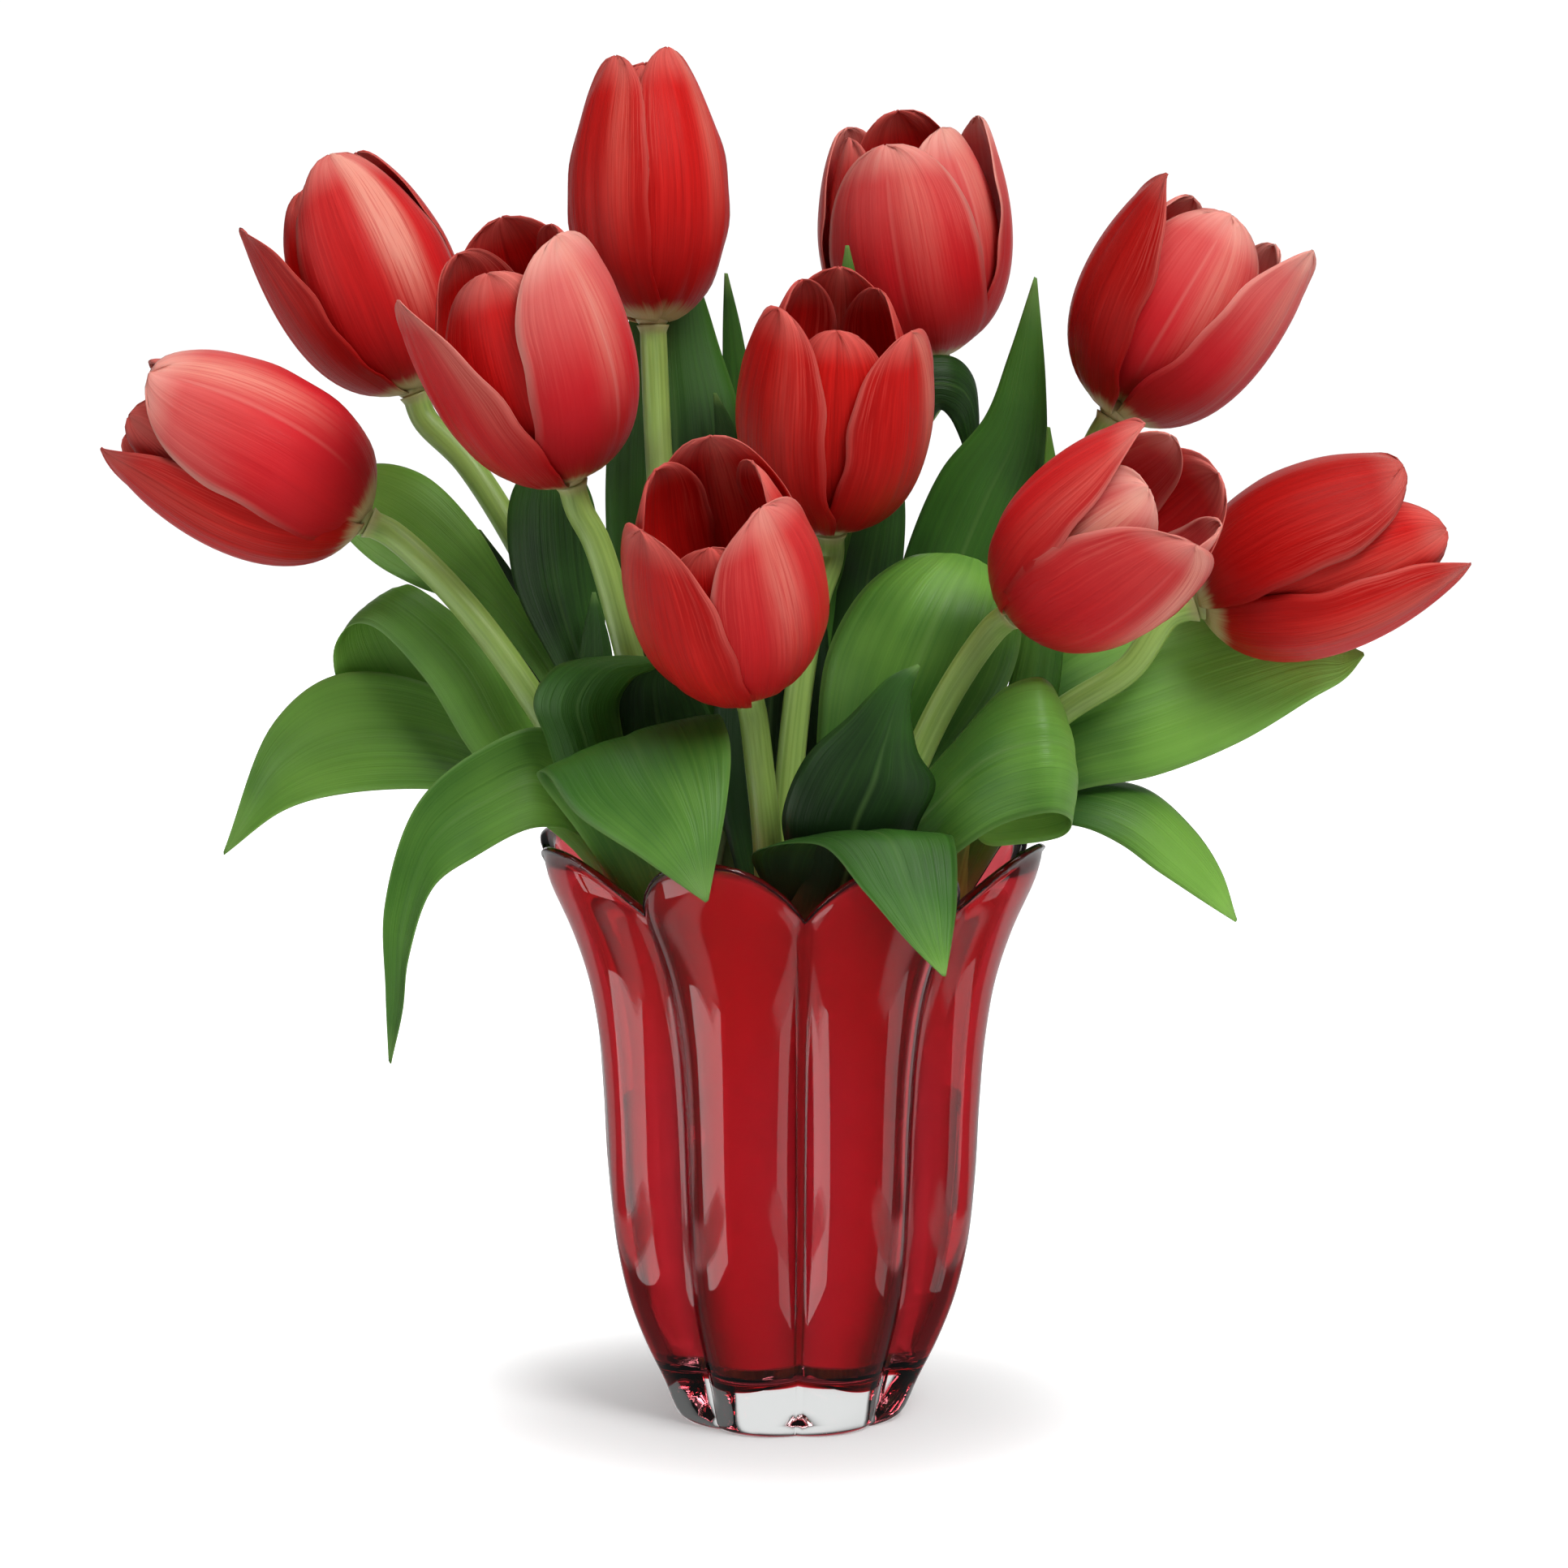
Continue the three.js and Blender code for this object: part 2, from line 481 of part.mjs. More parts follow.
// Vase: up the outside, over the rounded lip and down the inside to the floor
const wallHeights = VASE_OUTLINE.map((o) => o.z).filter((z) => z < VASE_HEIGHT - 1);
const innerHeights = wallHeights.filter((z, n) => z > VASE_FLOOR + 8 && n % 2 === 0);
const vase = skin(
  [
    ...wallHeights.map((z) => vaseRing(z, 0)),
    raise(vaseRing(VASE_HEIGHT, 0), -LIP_ROUNDING),
    vaseRing(VASE_HEIGHT, LIP_ROUNDING),
    vaseRing(VASE_HEIGHT, WALL - LIP_ROUNDING),
    raise(vaseRing(VASE_HEIGHT, WALL), -LIP_ROUNDING),
    ...innerHeights.map((z) => vaseRing(z, WALL)).reverse(),
    vaseRing(VASE_FLOOR + 5, WALL, 0.99),
    raise(vaseRing(VASE_FLOOR + 5, WALL, 0.84), -5),
  ],
  new THREE.Vector3(0, 0, 0),
  new THREE.Vector3(0, 0, VASE_FLOOR),
);

// A stem's path: straight through the water, then curving up to the bloom and arriving along the bloom's axis
function stemCurve(key) {
  const { foot, path } = STEMS[key];
  const { base, axis } = BLOOMS[key];
  const rim = vector(path[0]);
  const lean = Math.atan2(Math.hypot(rim.x - foot[0], rim.y - foot[1]), rim.z - VASE_FLOOR);
  const footHeight = VASE_FLOOR + SEAT_GAP + STEM_RADIUS_FOOT * Math.sin(lean);
  const start = new THREE.Vector3(foot[0], foot[1], footHeight);
  const way = vector(axis).normalize();
  const end = vector(base).addScaledVector(way, -SEAT_GAP);
  const neck = end.clone().addScaledVector(way, -NECK_LENGTH);
  const straight = [0, 0.33, 0.66].map((share) => start.clone().lerp(rim, share));
  return new THREE.CatmullRomCurve3([...straight, ...path.map(vector), neck, end], false, "centripetal");
}

// A stem's solid, or the hole for it: grown by a clearance and run on past the cut end
function stemSolid(curve, grown = 0, runOn = 0) {
  const frames = curve.computeFrenetFrames(STEM_STEPS, false);
  const foot = curve.getPointAt(0).addScaledVector(frames.tangents[0], -runOn);
  const rings = [];
  for (let i = 0; i <= STEM_STEPS; i++) {
    const share = i / STEM_STEPS;
    const middle = i === 0 ? foot : curve.getPointAt(share);
    const radius = THREE.MathUtils.lerp(STEM_RADIUS_FOOT, STEM_RADIUS_TOP, share) + grown;
    const ring = [];
    for (let j = 0; j < STEM_SIDES; j++) {
      const angle = (2 * Math.PI * j) / STEM_SIDES;
      const out = frames.normals[i].clone().multiplyScalar(Math.cos(angle) * radius);
      out.addScaledVector(frames.binormals[i], Math.sin(angle) * radius);
      ring.push(middle.clone().add(out));
    }
    rings.push(ring);
  }
  return skin(rings, foot, curve.getPointAt(1));
}

// A leaf: two edge curves from the root on its stem to the tip, with a blade hollowed between them
function leafSolid(leaf, curve) {
  const root = rootOn(curve, leaf.root);
  const [left, right] = leaf.edges[0].map(vector);
  const side = right.clone().sub(left).setLength(LEAF_ROOT_WIDTH / 2);
  const tip = vector(leaf.tip);
  const lastPair = leaf.edges[leaf.edges.length - 1].map(vector);
  const tipSide = lastPair[1].clone().sub(lastPair[0]).setLength(BLADE_TIP_WIDTH / 2);
  const lefts = [root.clone().sub(side), ...leaf.edges.map((e) => vector(e[0])), tip.clone().sub(tipSide)];
  const rights = [root.clone().add(side), ...leaf.edges.map((e) => vector(e[1])), tip.clone().add(tipSide)];
  const leftCurve = new THREE.CatmullRomCurve3(lefts, false, "centripetal");
  const rightCurve = new THREE.CatmullRomCurve3(rights, false, "centripetal");
  const steps = lefts.length - 1;
  const widest = Math.max(...leaf.edges.map((e) => vector(e[0]).distanceTo(vector(e[1]))));
  const { columns } = LEAF_COLUMNS.find(({ over }) => widest > over);
  const grid = [];
  for (let i = 0; i <= steps; i++) {
    const share = i / steps;
    const [a, b] = [leftCurve.getPoint(share), rightCurve.getPoint(share)];
    const across = b.clone().sub(a);
    const width = across.length();
    const along = leftCurve.getTangent(share).add(rightCurve.getTangent(share));
    const hollow = across.clone().cross(along).setLength(leaf.hollow * width);
    const row = [];
    for (let j = 0; j <= columns; j++) {
      const t = (2 * j) / columns - 1;
      row.push(a.clone().addScaledVector(across, (t + 1) / 2).addScaledVector(hollow, 1 - t * t));
    }
    grid.push(row);
  }
  return blade(grid, LEAF_THICKNESS);
}

// The point of a stem's middle line at a height
function rootOn(curve, height) {
  let [low, high] = [0, 1];
  for (let n = 0; n < 24; n++) {
    const middle = (low + high) / 2;
    if (curve.getPointAt(middle).z < height) low = middle;
    else high = middle;
  }
  return curve.getPointAt(low);
}

// Half width of a petal along its length: narrow at the root, widest past the middle, round or pointed at the tip
function petalHalfWidth(share, half, point) {
  if (share < PETAL_WIDEST) return half * (1 - 0.5 * (1 - share / PETAL_WIDEST) ** 2);
  const past = (share - PETAL_WIDEST) / (1 - PETAL_WIDEST);
  return Math.max(half * (1 - past ** 2.7) ** point, PETAL_TIP_WIDTH / 2);
}

// A petal: its middle line leaves the base outwards and turns up round the belly; each row is an arc, so it cups
function petalSolid({ turn, length, half, belly, tip, point = 0.48 }, { rootRadius, rootHeight, lift, columns, rows }) {
  const line = new THREE.CubicBezierCurve(
    new THREE.Vector2(rootRadius, rootHeight),
    new THREE.Vector2(1.16 * belly, 0.09 * length + lift),
    new THREE.Vector2(1.16 * belly + 0.06 * tip, 0.64 * length),
    new THREE.Vector2(tip, length),
  );
  const angle = THREE.MathUtils.degToRad(turn);
  const outward = new THREE.Vector3(Math.sin(angle), -Math.cos(angle), 0);
  const sideways = new THREE.Vector3(Math.cos(angle), Math.sin(angle), 0);
  const grid = rows.map((share) => {
    const middle = line.getPoint(share);
    const along = line.getTangent(share);
    const normal = outward.clone().multiplyScalar(along.y).add(new THREE.Vector3(0, 0, -along.x));
    const away = along.x < 0 ? normal : outward;
    const curve = share < PETAL_WIDEST ? middle.x : Math.max(middle.x, PETAL_LEAST_CURVE);
    const reach = Math.min(petalHalfWidth(share, half, point), PETAL_REACH * middle.x) / curve;
    const row = [];
    for (let j = 0; j <= columns; j++) {
      const side = (2 * j) / columns - 1;
      const p = outward.clone().multiplyScalar(middle.x);
      p.z = middle.y;
      p.addScaledVector(sideways, curve * Math.sin(side * reach));
      const tuck = PETAL_TUCK * side * (1 - share);
      row.push(p.addScaledVector(away, curve * (Math.cos(side * reach) - 1)).addScaledVector(normal, tuck));
    }
    return row;
  });
  return blade(grid, PETAL_THICKNESS);
}

// A bloom about its own axis: the base with its pistil, joined with the petals
function bloomSolid({ outer, inner }) {
  const outline = CORE_OUTLINE.map(([r, z]) => new THREE.Vector2(r, z));
  const core = new THREE.LatheGeometry(outline, CORE_SIDES).rotateX(Math.PI / 2);
  const petals = [
    ...outer.map((petal) => petalSolid(petal, OUTER_PETAL)),
    ...inner.map((petal) => petalSolid(petal, INNER_PETAL)),
  ];
  return withoutPockets(petals.reduce((joined, petal) => joined.add(petal), solidOf(core)));
}

// A bloom's frame: its axis, and its front turned towards the front of the vase
function placeBloom(mesh, { base, axis }) {
  const up = vector(axis).normalize();
  const back = new THREE.Vector3(0, 1, 0).addScaledVector(up, -up.y).normalize();
  const right = back.clone().cross(up);
  mesh.quaternion.setFromRotationMatrix(new THREE.Matrix4().makeBasis(right, back, up));
  mesh.position.copy(vector(base));
}

const tulips = new THREE.Group();
tulips.add(meshOf("vase", vase, GLASS));

// Water: the inside of the vase up to its level, with a hole for each stem
const waterHeights = innerHeights.filter((z) => z < RIM_DIP_START - 4);
let water = skin(
  [
    raise(vaseRing(VASE_FLOOR + 5, WALL + CLEARANCE, 0.84), CLEARANCE - 5),
    vaseRing(VASE_FLOOR + 5, WALL + CLEARANCE, 0.99),
    ...waterHeights.map((z) => vaseRing(z, WALL + CLEARANCE)),
    raise(vaseRing(RIM_DIP_START, WALL + CLEARANCE), WATER_LEVEL - RIM_DIP_START),
  ],
  new THREE.Vector3(0, 0, VASE_FLOOR + CLEARANCE),
  new THREE.Vector3(0, 0, WATER_LEVEL),
  true,
);

for (const key of Object.keys(STEMS)) {
  const curve = stemCurve(key);
  water = water.subtract(stemSolid(curve, HOLE_CLEARANCE, HOLE_DEPTH));
  const leaves = LEAVES.filter((leaf) => leaf.stem === key);
  const green = leaves.reduce((joined, leaf) => joined.add(leafSolid(leaf, curve)), stemSolid(curve));
  tulips.add(meshOf("stem_" + key, withoutPockets(green), LEAF_GREEN));
  const bloom = meshOf("bloom_" + key, bloomSolid(BLOOMS[key]), PETAL_RED);
  placeBloom(bloom, BLOOMS[key]);
  tulips.add(bloom);
}
tulips.add(meshOf("water", water, CLEAR_WATER));

export default tulips;
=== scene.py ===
# Ten red tulips standing in a lobed glass vase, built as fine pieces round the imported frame.
# Sizes are in millimetres here and become metres when a mesh is made. +Z is up, the front faces -Y.
import math
import bpy
import numpy as np
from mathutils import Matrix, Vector


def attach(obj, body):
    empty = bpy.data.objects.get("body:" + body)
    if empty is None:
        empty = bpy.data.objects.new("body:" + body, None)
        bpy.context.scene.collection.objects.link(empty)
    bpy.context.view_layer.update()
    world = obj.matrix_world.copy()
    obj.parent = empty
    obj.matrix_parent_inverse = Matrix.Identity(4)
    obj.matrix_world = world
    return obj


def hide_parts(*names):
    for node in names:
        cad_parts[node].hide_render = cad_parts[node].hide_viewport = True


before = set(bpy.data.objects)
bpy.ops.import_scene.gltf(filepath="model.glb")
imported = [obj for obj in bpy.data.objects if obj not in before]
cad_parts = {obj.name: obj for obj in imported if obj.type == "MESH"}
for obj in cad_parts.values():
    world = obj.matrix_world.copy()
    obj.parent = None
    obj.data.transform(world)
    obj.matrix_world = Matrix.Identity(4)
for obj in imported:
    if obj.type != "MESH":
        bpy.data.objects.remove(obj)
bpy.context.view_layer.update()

# Vase: one piece of thick glass, pressed in a mould with eight rounded lobes and sharp grooves between them.
# It is red down to its floor, the solid foot below is clear, and the scalloped lip is fire-polished.
MM = 0.001
VASE_HEIGHT = 171
VASE_FLOOR = 17
LOBES = 8
FIRST_GROOVE = 4  # degrees from the front towards the right
LOBE_FULLNESS = 0.8
RIM_DIP = 17  # how far the rim drops between two lobes
RIM_DIP_START = 95  # height above which the rings follow the rim
RIM_DIP_SHARPNESS = 2.3
WALL = 4.6
POINTS_PER_LOBE = 18
VASE_RINGS = 58
LIP_STEPS = 8
LIP_ROUNDING = 12  # how far below the rim the outer face starts to turn in, and how far in it goes
LIP_ROUNDING_DEPTH = 1.6
CORNER = 5  # height of the rounded corner between the inner wall and the floor
CORNER_STEPS = 6
CORNER_SHRINK = 0.16  # share of its radius that a ring loses from the wall to the floor
FLOOR_SCALES = (0.82, 0.5)
FOOT_RINGS = ((18, 0.2), (10, 0.08), (3.4, 0), (1.2, 0), (0.3, 0.6))  # inset and rise, going outwards
FOOT_HOLLOW = 0.3
CLEAR_FOOT = (15.2, 17)  # heights between which clear glass turns red
# height, and the outer radius at a lobe's middle and at a groove
VASE_OUTLINE = np.array([
    (0, 33, 31), (2, 34.4, 31.8), (12, 39, 34.2), (23, 44.5, 37.5), (36, 49.7, 41), (52, 53.6, 43.3),
    (72, 55.9, 44.4), (94, 57.1, 45.7), (114, 58.8, 48), (131, 61.8, 52.2), (145, 66.4, 58.3),
    (158, 72.2, 65.5), (171, 77.5, 72.5),
], float)


def smooth_between(z, heights, values):
    """Values at heights z on a smooth curve through the listed ones."""
    slopes = np.gradient(values, heights)
    n = np.clip(np.searchsorted(heights, z) - 1, 0, len(heights) - 2)
    span = heights[n + 1] - heights[n]
    t = (z - heights[n]) / span
    start = (2 * t**3 - 3 * t**2 + 1) * values[n] + (t**3 - 2 * t**2 + t) * span * slopes[n]
    return start + (3 * t**2 - 2 * t**3) * values[n + 1] + (t**3 - t**2) * span * slopes[n + 1]


def vase_ring(height, inset, scale=1, lift=0):
    """One ring round the vase, inset from its outer face; rings near the rim follow the scallops."""
    n = np.arange(LOBES * POINTS_PER_LOBE)
    from_crest = np.abs(2 * (n % POINTS_PER_LOBE) / POINTS_PER_LOBE - 1)
    lobe = np.cos(math.pi / 2 * from_crest) ** LOBE_FULLNESS
    rise = max(0, height - RIM_DIP_START) / (VASE_HEIGHT - RIM_DIP_START)
    z = height - RIM_DIP * from_crest**RIM_DIP_SHARPNESS * rise**2
    crest = smooth_between(z, VASE_OUTLINE[:, 0], VASE_OUTLINE[:, 1])
    groove = smooth_between(z, VASE_OUTLINE[:, 0], VASE_OUTLINE[:, 2])
    radius = (groove + (crest - groove) * lobe - inset) * scale
    angle = np.radians(FIRST_GROOVE + 360 / len(n) * n)
    return np.stack([radius * np.sin(angle), -radius * np.cos(angle), z + lift], 1)


def lip_inset(height):
    """How far the outer face has turned in at a height."""
    share = max(0, (height - VASE_HEIGHT + WALL / 2 + LIP_ROUNDING) / LIP_ROUNDING)
    return LIP_ROUNDING_DEPTH * share**2.2


def lip_rings(depth):
    """Rings over the rounded lip, at a depth below its skin."""
    half = (WALL - LIP_ROUNDING_DEPTH) / 2 - depth
    rings = []
    for step in range(1, LIP_STEPS):
        turn = math.pi * step / LIP_STEPS
        inset = LIP_ROUNDING_DEPTH + depth + half * (1 - math.cos(turn))
        rings.append(vase_ring(VASE_HEIGHT, inset, 1, half * math.sin(turn) - WALL / 2))
    return rings


def corner_rings(inset, sink, lift=0):
    """Rings down the rounded corner between the vase's wall and its floor."""
    rings = []
    for step in range(CORNER_STEPS + 1):
        turn = math.pi / 2 * step / CORNER_STEPS
        scale = 1 - CORNER_SHRINK + CORNER_SHRINK * math.cos(turn)
        rings.append(vase_ring(VASE_FLOOR + CORNER, inset, scale, lift - sink * math.sin(turn)))
    return rings


def skin(rings, first_middle, last_middle):
    """Points and faces of a closed body skinned over rings, with its two ends closed by a middle point."""
    count = len(rings[0])
    points = np.concatenate(rings + [np.array([first_middle, last_middle], float)])
    first = len(points) - 2
    end = (len(rings) - 1) * count
    faces = []
    for j in range(count):
        k = (j + 1) % count
        faces.append((first, k, j))
        faces.append((first + 1, end + j, end + k))
        for low in range(0, end, count):
            faces.append((low + j, low + k, low + count + k, low + count + j))
    return points, faces


def add_to_arrangement(name, points, faces, values, finish, slot, node):
    """A smooth piece that stands for a CAD node, with its finish and the values that its points carry."""
    mesh = bpy.data.meshes.new(name)
    mesh.from_pydata((np.asarray(points) * MM).tolist(), [], faces)
    mesh.polygons.foreach_set("use_smooth", [True] * len(mesh.polygons))
    for key, numbers in values.items():
        layer = mesh.attributes.new(key, "FLOAT", "POINT")
        layer.data.foreach_set("value", np.asarray(numbers, np.float32))
    mesh.materials.append(finish.material)
    piece = bpy.data.objects.new(name, mesh)
    bpy.context.scene.collection.objects.link(piece)
    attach(piece, "root")
    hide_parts(node)
    return piece


def feed(socket, value):
    """Link another node's output to a socket, or set the socket to a plain value."""
    if isinstance(value, bpy.types.NodeSocket):
        socket.id_data.links.new(value, socket)
    else:
        socket.default_value = value


def node_fed(kind, values, **settings):
    """A node with its settings and inputs, in the material that one of its values comes from."""
    tree = next(value.id_data for value in values.values() if isinstance(value, bpy.types.NodeSocket))
    node = tree.nodes.new("ShaderNode" + kind)
    for key, setting in settings.items():
        setattr(node, key, setting)
    for key, value in values.items():
        feed(node.inputs[key], value)
    return node


def work_out(operation, *values):
    return node_fed("Math", dict(enumerate(values)), operation=operation).outputs[0]


def plus(a, b):
    return work_out("ADD", a, b)


def minus(a, b):
    return work_out("SUBTRACT", a, b)


def times(product, *others):
    for other in others:
        product = work_out("MULTIPLY", product, other)
    return product


def fade(value, start, end, first=0, last=1):
    """Smooth change from first to last while a value goes from start to end."""
    values = {"Value": value, "From Min": start, "From Max": end, "To Min": first, "To Max": last}
    return node_fed("MapRange", values, interpolation_type="SMOOTHSTEP").outputs[0]


def cloud(place, scale, detail=2, roughness=0.5):
    values = {"Vector": place, "Scale": scale, "Detail": detail, "Roughness": roughness}
    return node_fed("TexNoise", values).outputs["Fac"]


def blend(share, *colours):
    """A colour between two others, each of them numbers or a node's output."""
    a, b = (colour if isinstance(colour, bpy.types.NodeSocket) else (*colour, 1) for colour in colours)
    return node_fed("Mix", {0: share, 6: a, 7: b}, data_type="RGBA").outputs[2]


def axes(place):
    return node_fed("SeparateXYZ", {0: place}).outputs


class Finish:
    """A material and the values that its nodes start from."""

    def __init__(self, name):
        self.material = bpy.data.materials.new(name)
        self.material.use_nodes = True
        self.tree = self.material.node_tree
        self.shader = self.tree.nodes["Principled BSDF"]

    def node(self, kind):
        return self.tree.nodes.new("ShaderNode" + kind)

    def place(self):
        return self.node("TexCoord").outputs["Object"]

    def carried(self, name):
        """The value that the mesh's points carry under a name."""
        node = self.node("Attribute")
        node.attribute_name = name
        return node.outputs["Fac"]

    def coat(self, **inputs):
        for key, value in inputs.items():
            feed(self.shader.inputs[key.replace("_", " ")], value)

    def relief(self, height, depth, strength):
        values = {"Height": height, "Distance": depth, "Strength": strength}
        self.coat(Normal=node_fed("Bump", values).outputs[0])


red_glass = Finish("red_glass")
height_in_glass = axes(red_glass.place())[2]
uneven_height = plus(height_in_glass, times(cloud(red_glass.place(), 40), 0.002))
dyed = fade(uneven_height, CLEAR_FOOT[0] * MM, CLEAR_FOOT[1] * MM)
inside = times(red_glass.carried("inside"), dyed)
slant = red_glass.node("LayerWeight").outputs["Facing"]
milkiness = fade(slant, 0.05, 0.27, 0.92, 0.18)
outer_tint = blend(dyed, (0.95, 0.965, 0.96), (0.96, 0.90, 0.90))
outer_tint = blend(times(fade(slant, 0.3, 0.85), dyed), outer_tint, (0.52, 0.26, 0.34))
inner_tint = blend(cloud(red_glass.place(), 25), (0.93, 0.35, 0.43), (0.98, 0.45, 0.54))
# Painted light: from 95 to 135 mm up, the inner skin turns a brighter red to make up for the leaves' shade
# over the upper vase.
inner_tint = blend(fade(height_in_glass, 0.095, 0.135), inner_tint, (1, 0.33, 0.32))
red_glass.coat(
    Base_Color=blend(inside, outer_tint, inner_tint),
    Roughness=0,
    IOR=1.5,
    Transmission_Weight=minus(1, times(inside, milkiness)),
)
red_glass.relief(cloud(red_glass.place(), 28, 1), 0.0006, 0.25)

outer_heights = np.concatenate([[2], np.linspace(4, VASE_HEIGHT - WALL / 2, VASE_RINGS)])
inner_heights = np.linspace(VASE_HEIGHT - WALL / 2, VASE_FLOOR + CORNER + 1, VASE_RINGS)
outside = [vase_ring(0, inset, 1, rise) for inset, rise in FOOT_RINGS]
outside += [vase_ring(z, lip_inset(z)) for z in outer_heights] + lip_rings(0)
inner_wall = [vase_ring(z, WALL) for z in inner_heights]
floor = corner_rings(WALL, CORNER)
floor += [vase_ring(VASE_FLOOR + CORNER, WALL, scale, -CORNER) for scale in FLOOR_SCALES]
points, faces = skin(outside + inner_wall + floor, (0, 0, FOOT_HOLLOW), (0, 0, VASE_FLOOR))
on_inner_wall = np.zeros(len(points))
wall_start = len(outside) * len(outside[0])
on_inner_wall[wall_start:wall_start + len(inner_wall) * len(outside[0])] = 1
add_to_arrangement("vase_glass", points, faces, {"inside": on_inner_wall}, red_glass, "red_glass", "vase")

# Ruby layer: the dyed glass within the vase's wall, which ends above the clear foot. It dims light the more,
# the longer its way through the wall, so the vase is darkest along its grooves and edges.
RUBY_INSET = 0.35
RUBY_FOOT = 15.8
ruby = Finish("ruby_layer")
ruby.coat(
    Base_Color=blend(cloud(ruby.place(), 20), (0.95, 0.80, 0.80), (0.97, 0.86, 0.86)),
    Roughness=0,
    IOR=1,
    Transmission_Weight=1,
)
absorption = ruby.node("VolumeAbsorption")
feed(absorption.inputs["Color"], (0.89, 0.35, 0.44, 1))
feed(absorption.inputs["Density"], 680)
feed(ruby.tree.nodes["Material Output"].inputs["Volume"], absorption.outputs[0])

ruby_heights = np.linspace(RUBY_FOOT, VASE_HEIGHT - WALL / 2, VASE_RINGS)
ruby_rings = [vase_ring(z, RUBY_INSET + lip_inset(z)) for z in ruby_heights] + lip_rings(RUBY_INSET)
ruby_rings += [vase_ring(z, WALL - RUBY_INSET) for z in inner_heights]
ruby_rings += corner_rings(WALL - RUBY_INSET, CORNER + RUBY_INSET)
points, faces = skin(ruby_rings, (0, 0, RUBY_FOOT), (0, 0, VASE_FLOOR - RUBY_INSET))
add_to_arrangement("vase_ruby_layer", points, faces, {}, ruby, "red_glass", "vase")

# Water: clear tap water up to a little over half the vase, with a small meniscus where it meets the glass.
# Its skin stays a hair inside the glass.
WATER_LEVEL = 96
WATER_GAP = 0.15
MENISCUS = ((0, 1.4), (0.8, 0.5), (2, 0.12), (4, 0))  # distance from the glass and height above the level
clear_water = Finish("water")
ripple = cloud(clear_water.place(), 60, 1)
clear_water.coat(
    Base_Color=blend(ripple, (0.97, 0.985, 0.98), (0.99, 0.995, 0.99)),
    Roughness=0,
    IOR=1.33,
    Transmission_Weight=1,
)
clear_water.relief(ripple, 0.0003, 0.15)

edge = WALL + WATER_GAP
floor = [vase_ring(VASE_FLOOR + CORNER, edge, scale, WATER_GAP - CORNER) for scale in FLOOR_SCALES]
water_rings = (corner_rings(edge, CORNER, WATER_GAP) + floor)[::-1]
water_rings += [vase_ring(z, edge) for z in inner_heights[::-1] if z < RIM_DIP_START - 1]
for inset, rise in MENISCUS:
    water_rings.append(vase_ring(RIM_DIP_START, edge + inset, 1, WATER_LEVEL - RIM_DIP_START + rise))
points, faces = skin(water_rings, (0, 0, VASE_FLOOR + WATER_GAP), (0, 0, WATER_LEVEL))
vase_water = add_to_arrangement("vase_water", points, faces, {}, clear_water, "water", "water")
vase_water.visible_shadow = False

# Stems: ten round, juicy flower stalks, cut flat at the foot. They stand on the vase's floor, lean on its
# rim, curve up to their blooms and swell a little where the petals start.
STEM_RADIUS_FOOT = 4.3
STEM_RADIUS_TOP = 3.9
NECK_LENGTH = 8
NECK_SWELL = 0.9
SEAT_GAP = 0.3
STALK_STEPS = 72
STALK_SIDES = 24
# For each stem: its foot's place on the floor, then points on its way up to the bloom.
STEMS = {
    "a": ((-8, 6), ((-28, 14, 171), (-34, 18, 225), (-38, 22, 275))),
    "b": ((5, 14), ((15, 32, 171), (19, 46, 246), (28, 52, 274))),
    "c": ((16, 7), ((40, 14, 171), (55, 16, 211), (76, 15, 253))),
    "d": ((-18, 13), ((-46, 20, 171), (-71, 27, 236), (-95, 33, 277))),
    "e": ((-12, -13), ((-34, -24, 171), (-45, -26, 223), (-54, -30, 256))),
    "f": ((-18, -6), ((-52, -13, 173), (-76, -13, 215), (-95, -11, 240))),
    "g": ((0, -3), ((-1, -8, 171), (4, -5, 221), (8, 0, 239))),
    "h": ((-2, -21), ((-6, -44, 171), (-8.5, -51, 196))),
    "i": ((12, -15), ((28, -30, 171), (41, -34, 207))),
    "j": ((22, -4), ((54, -4, 178), (77, -4, 205), (98, -4, 219))),
}
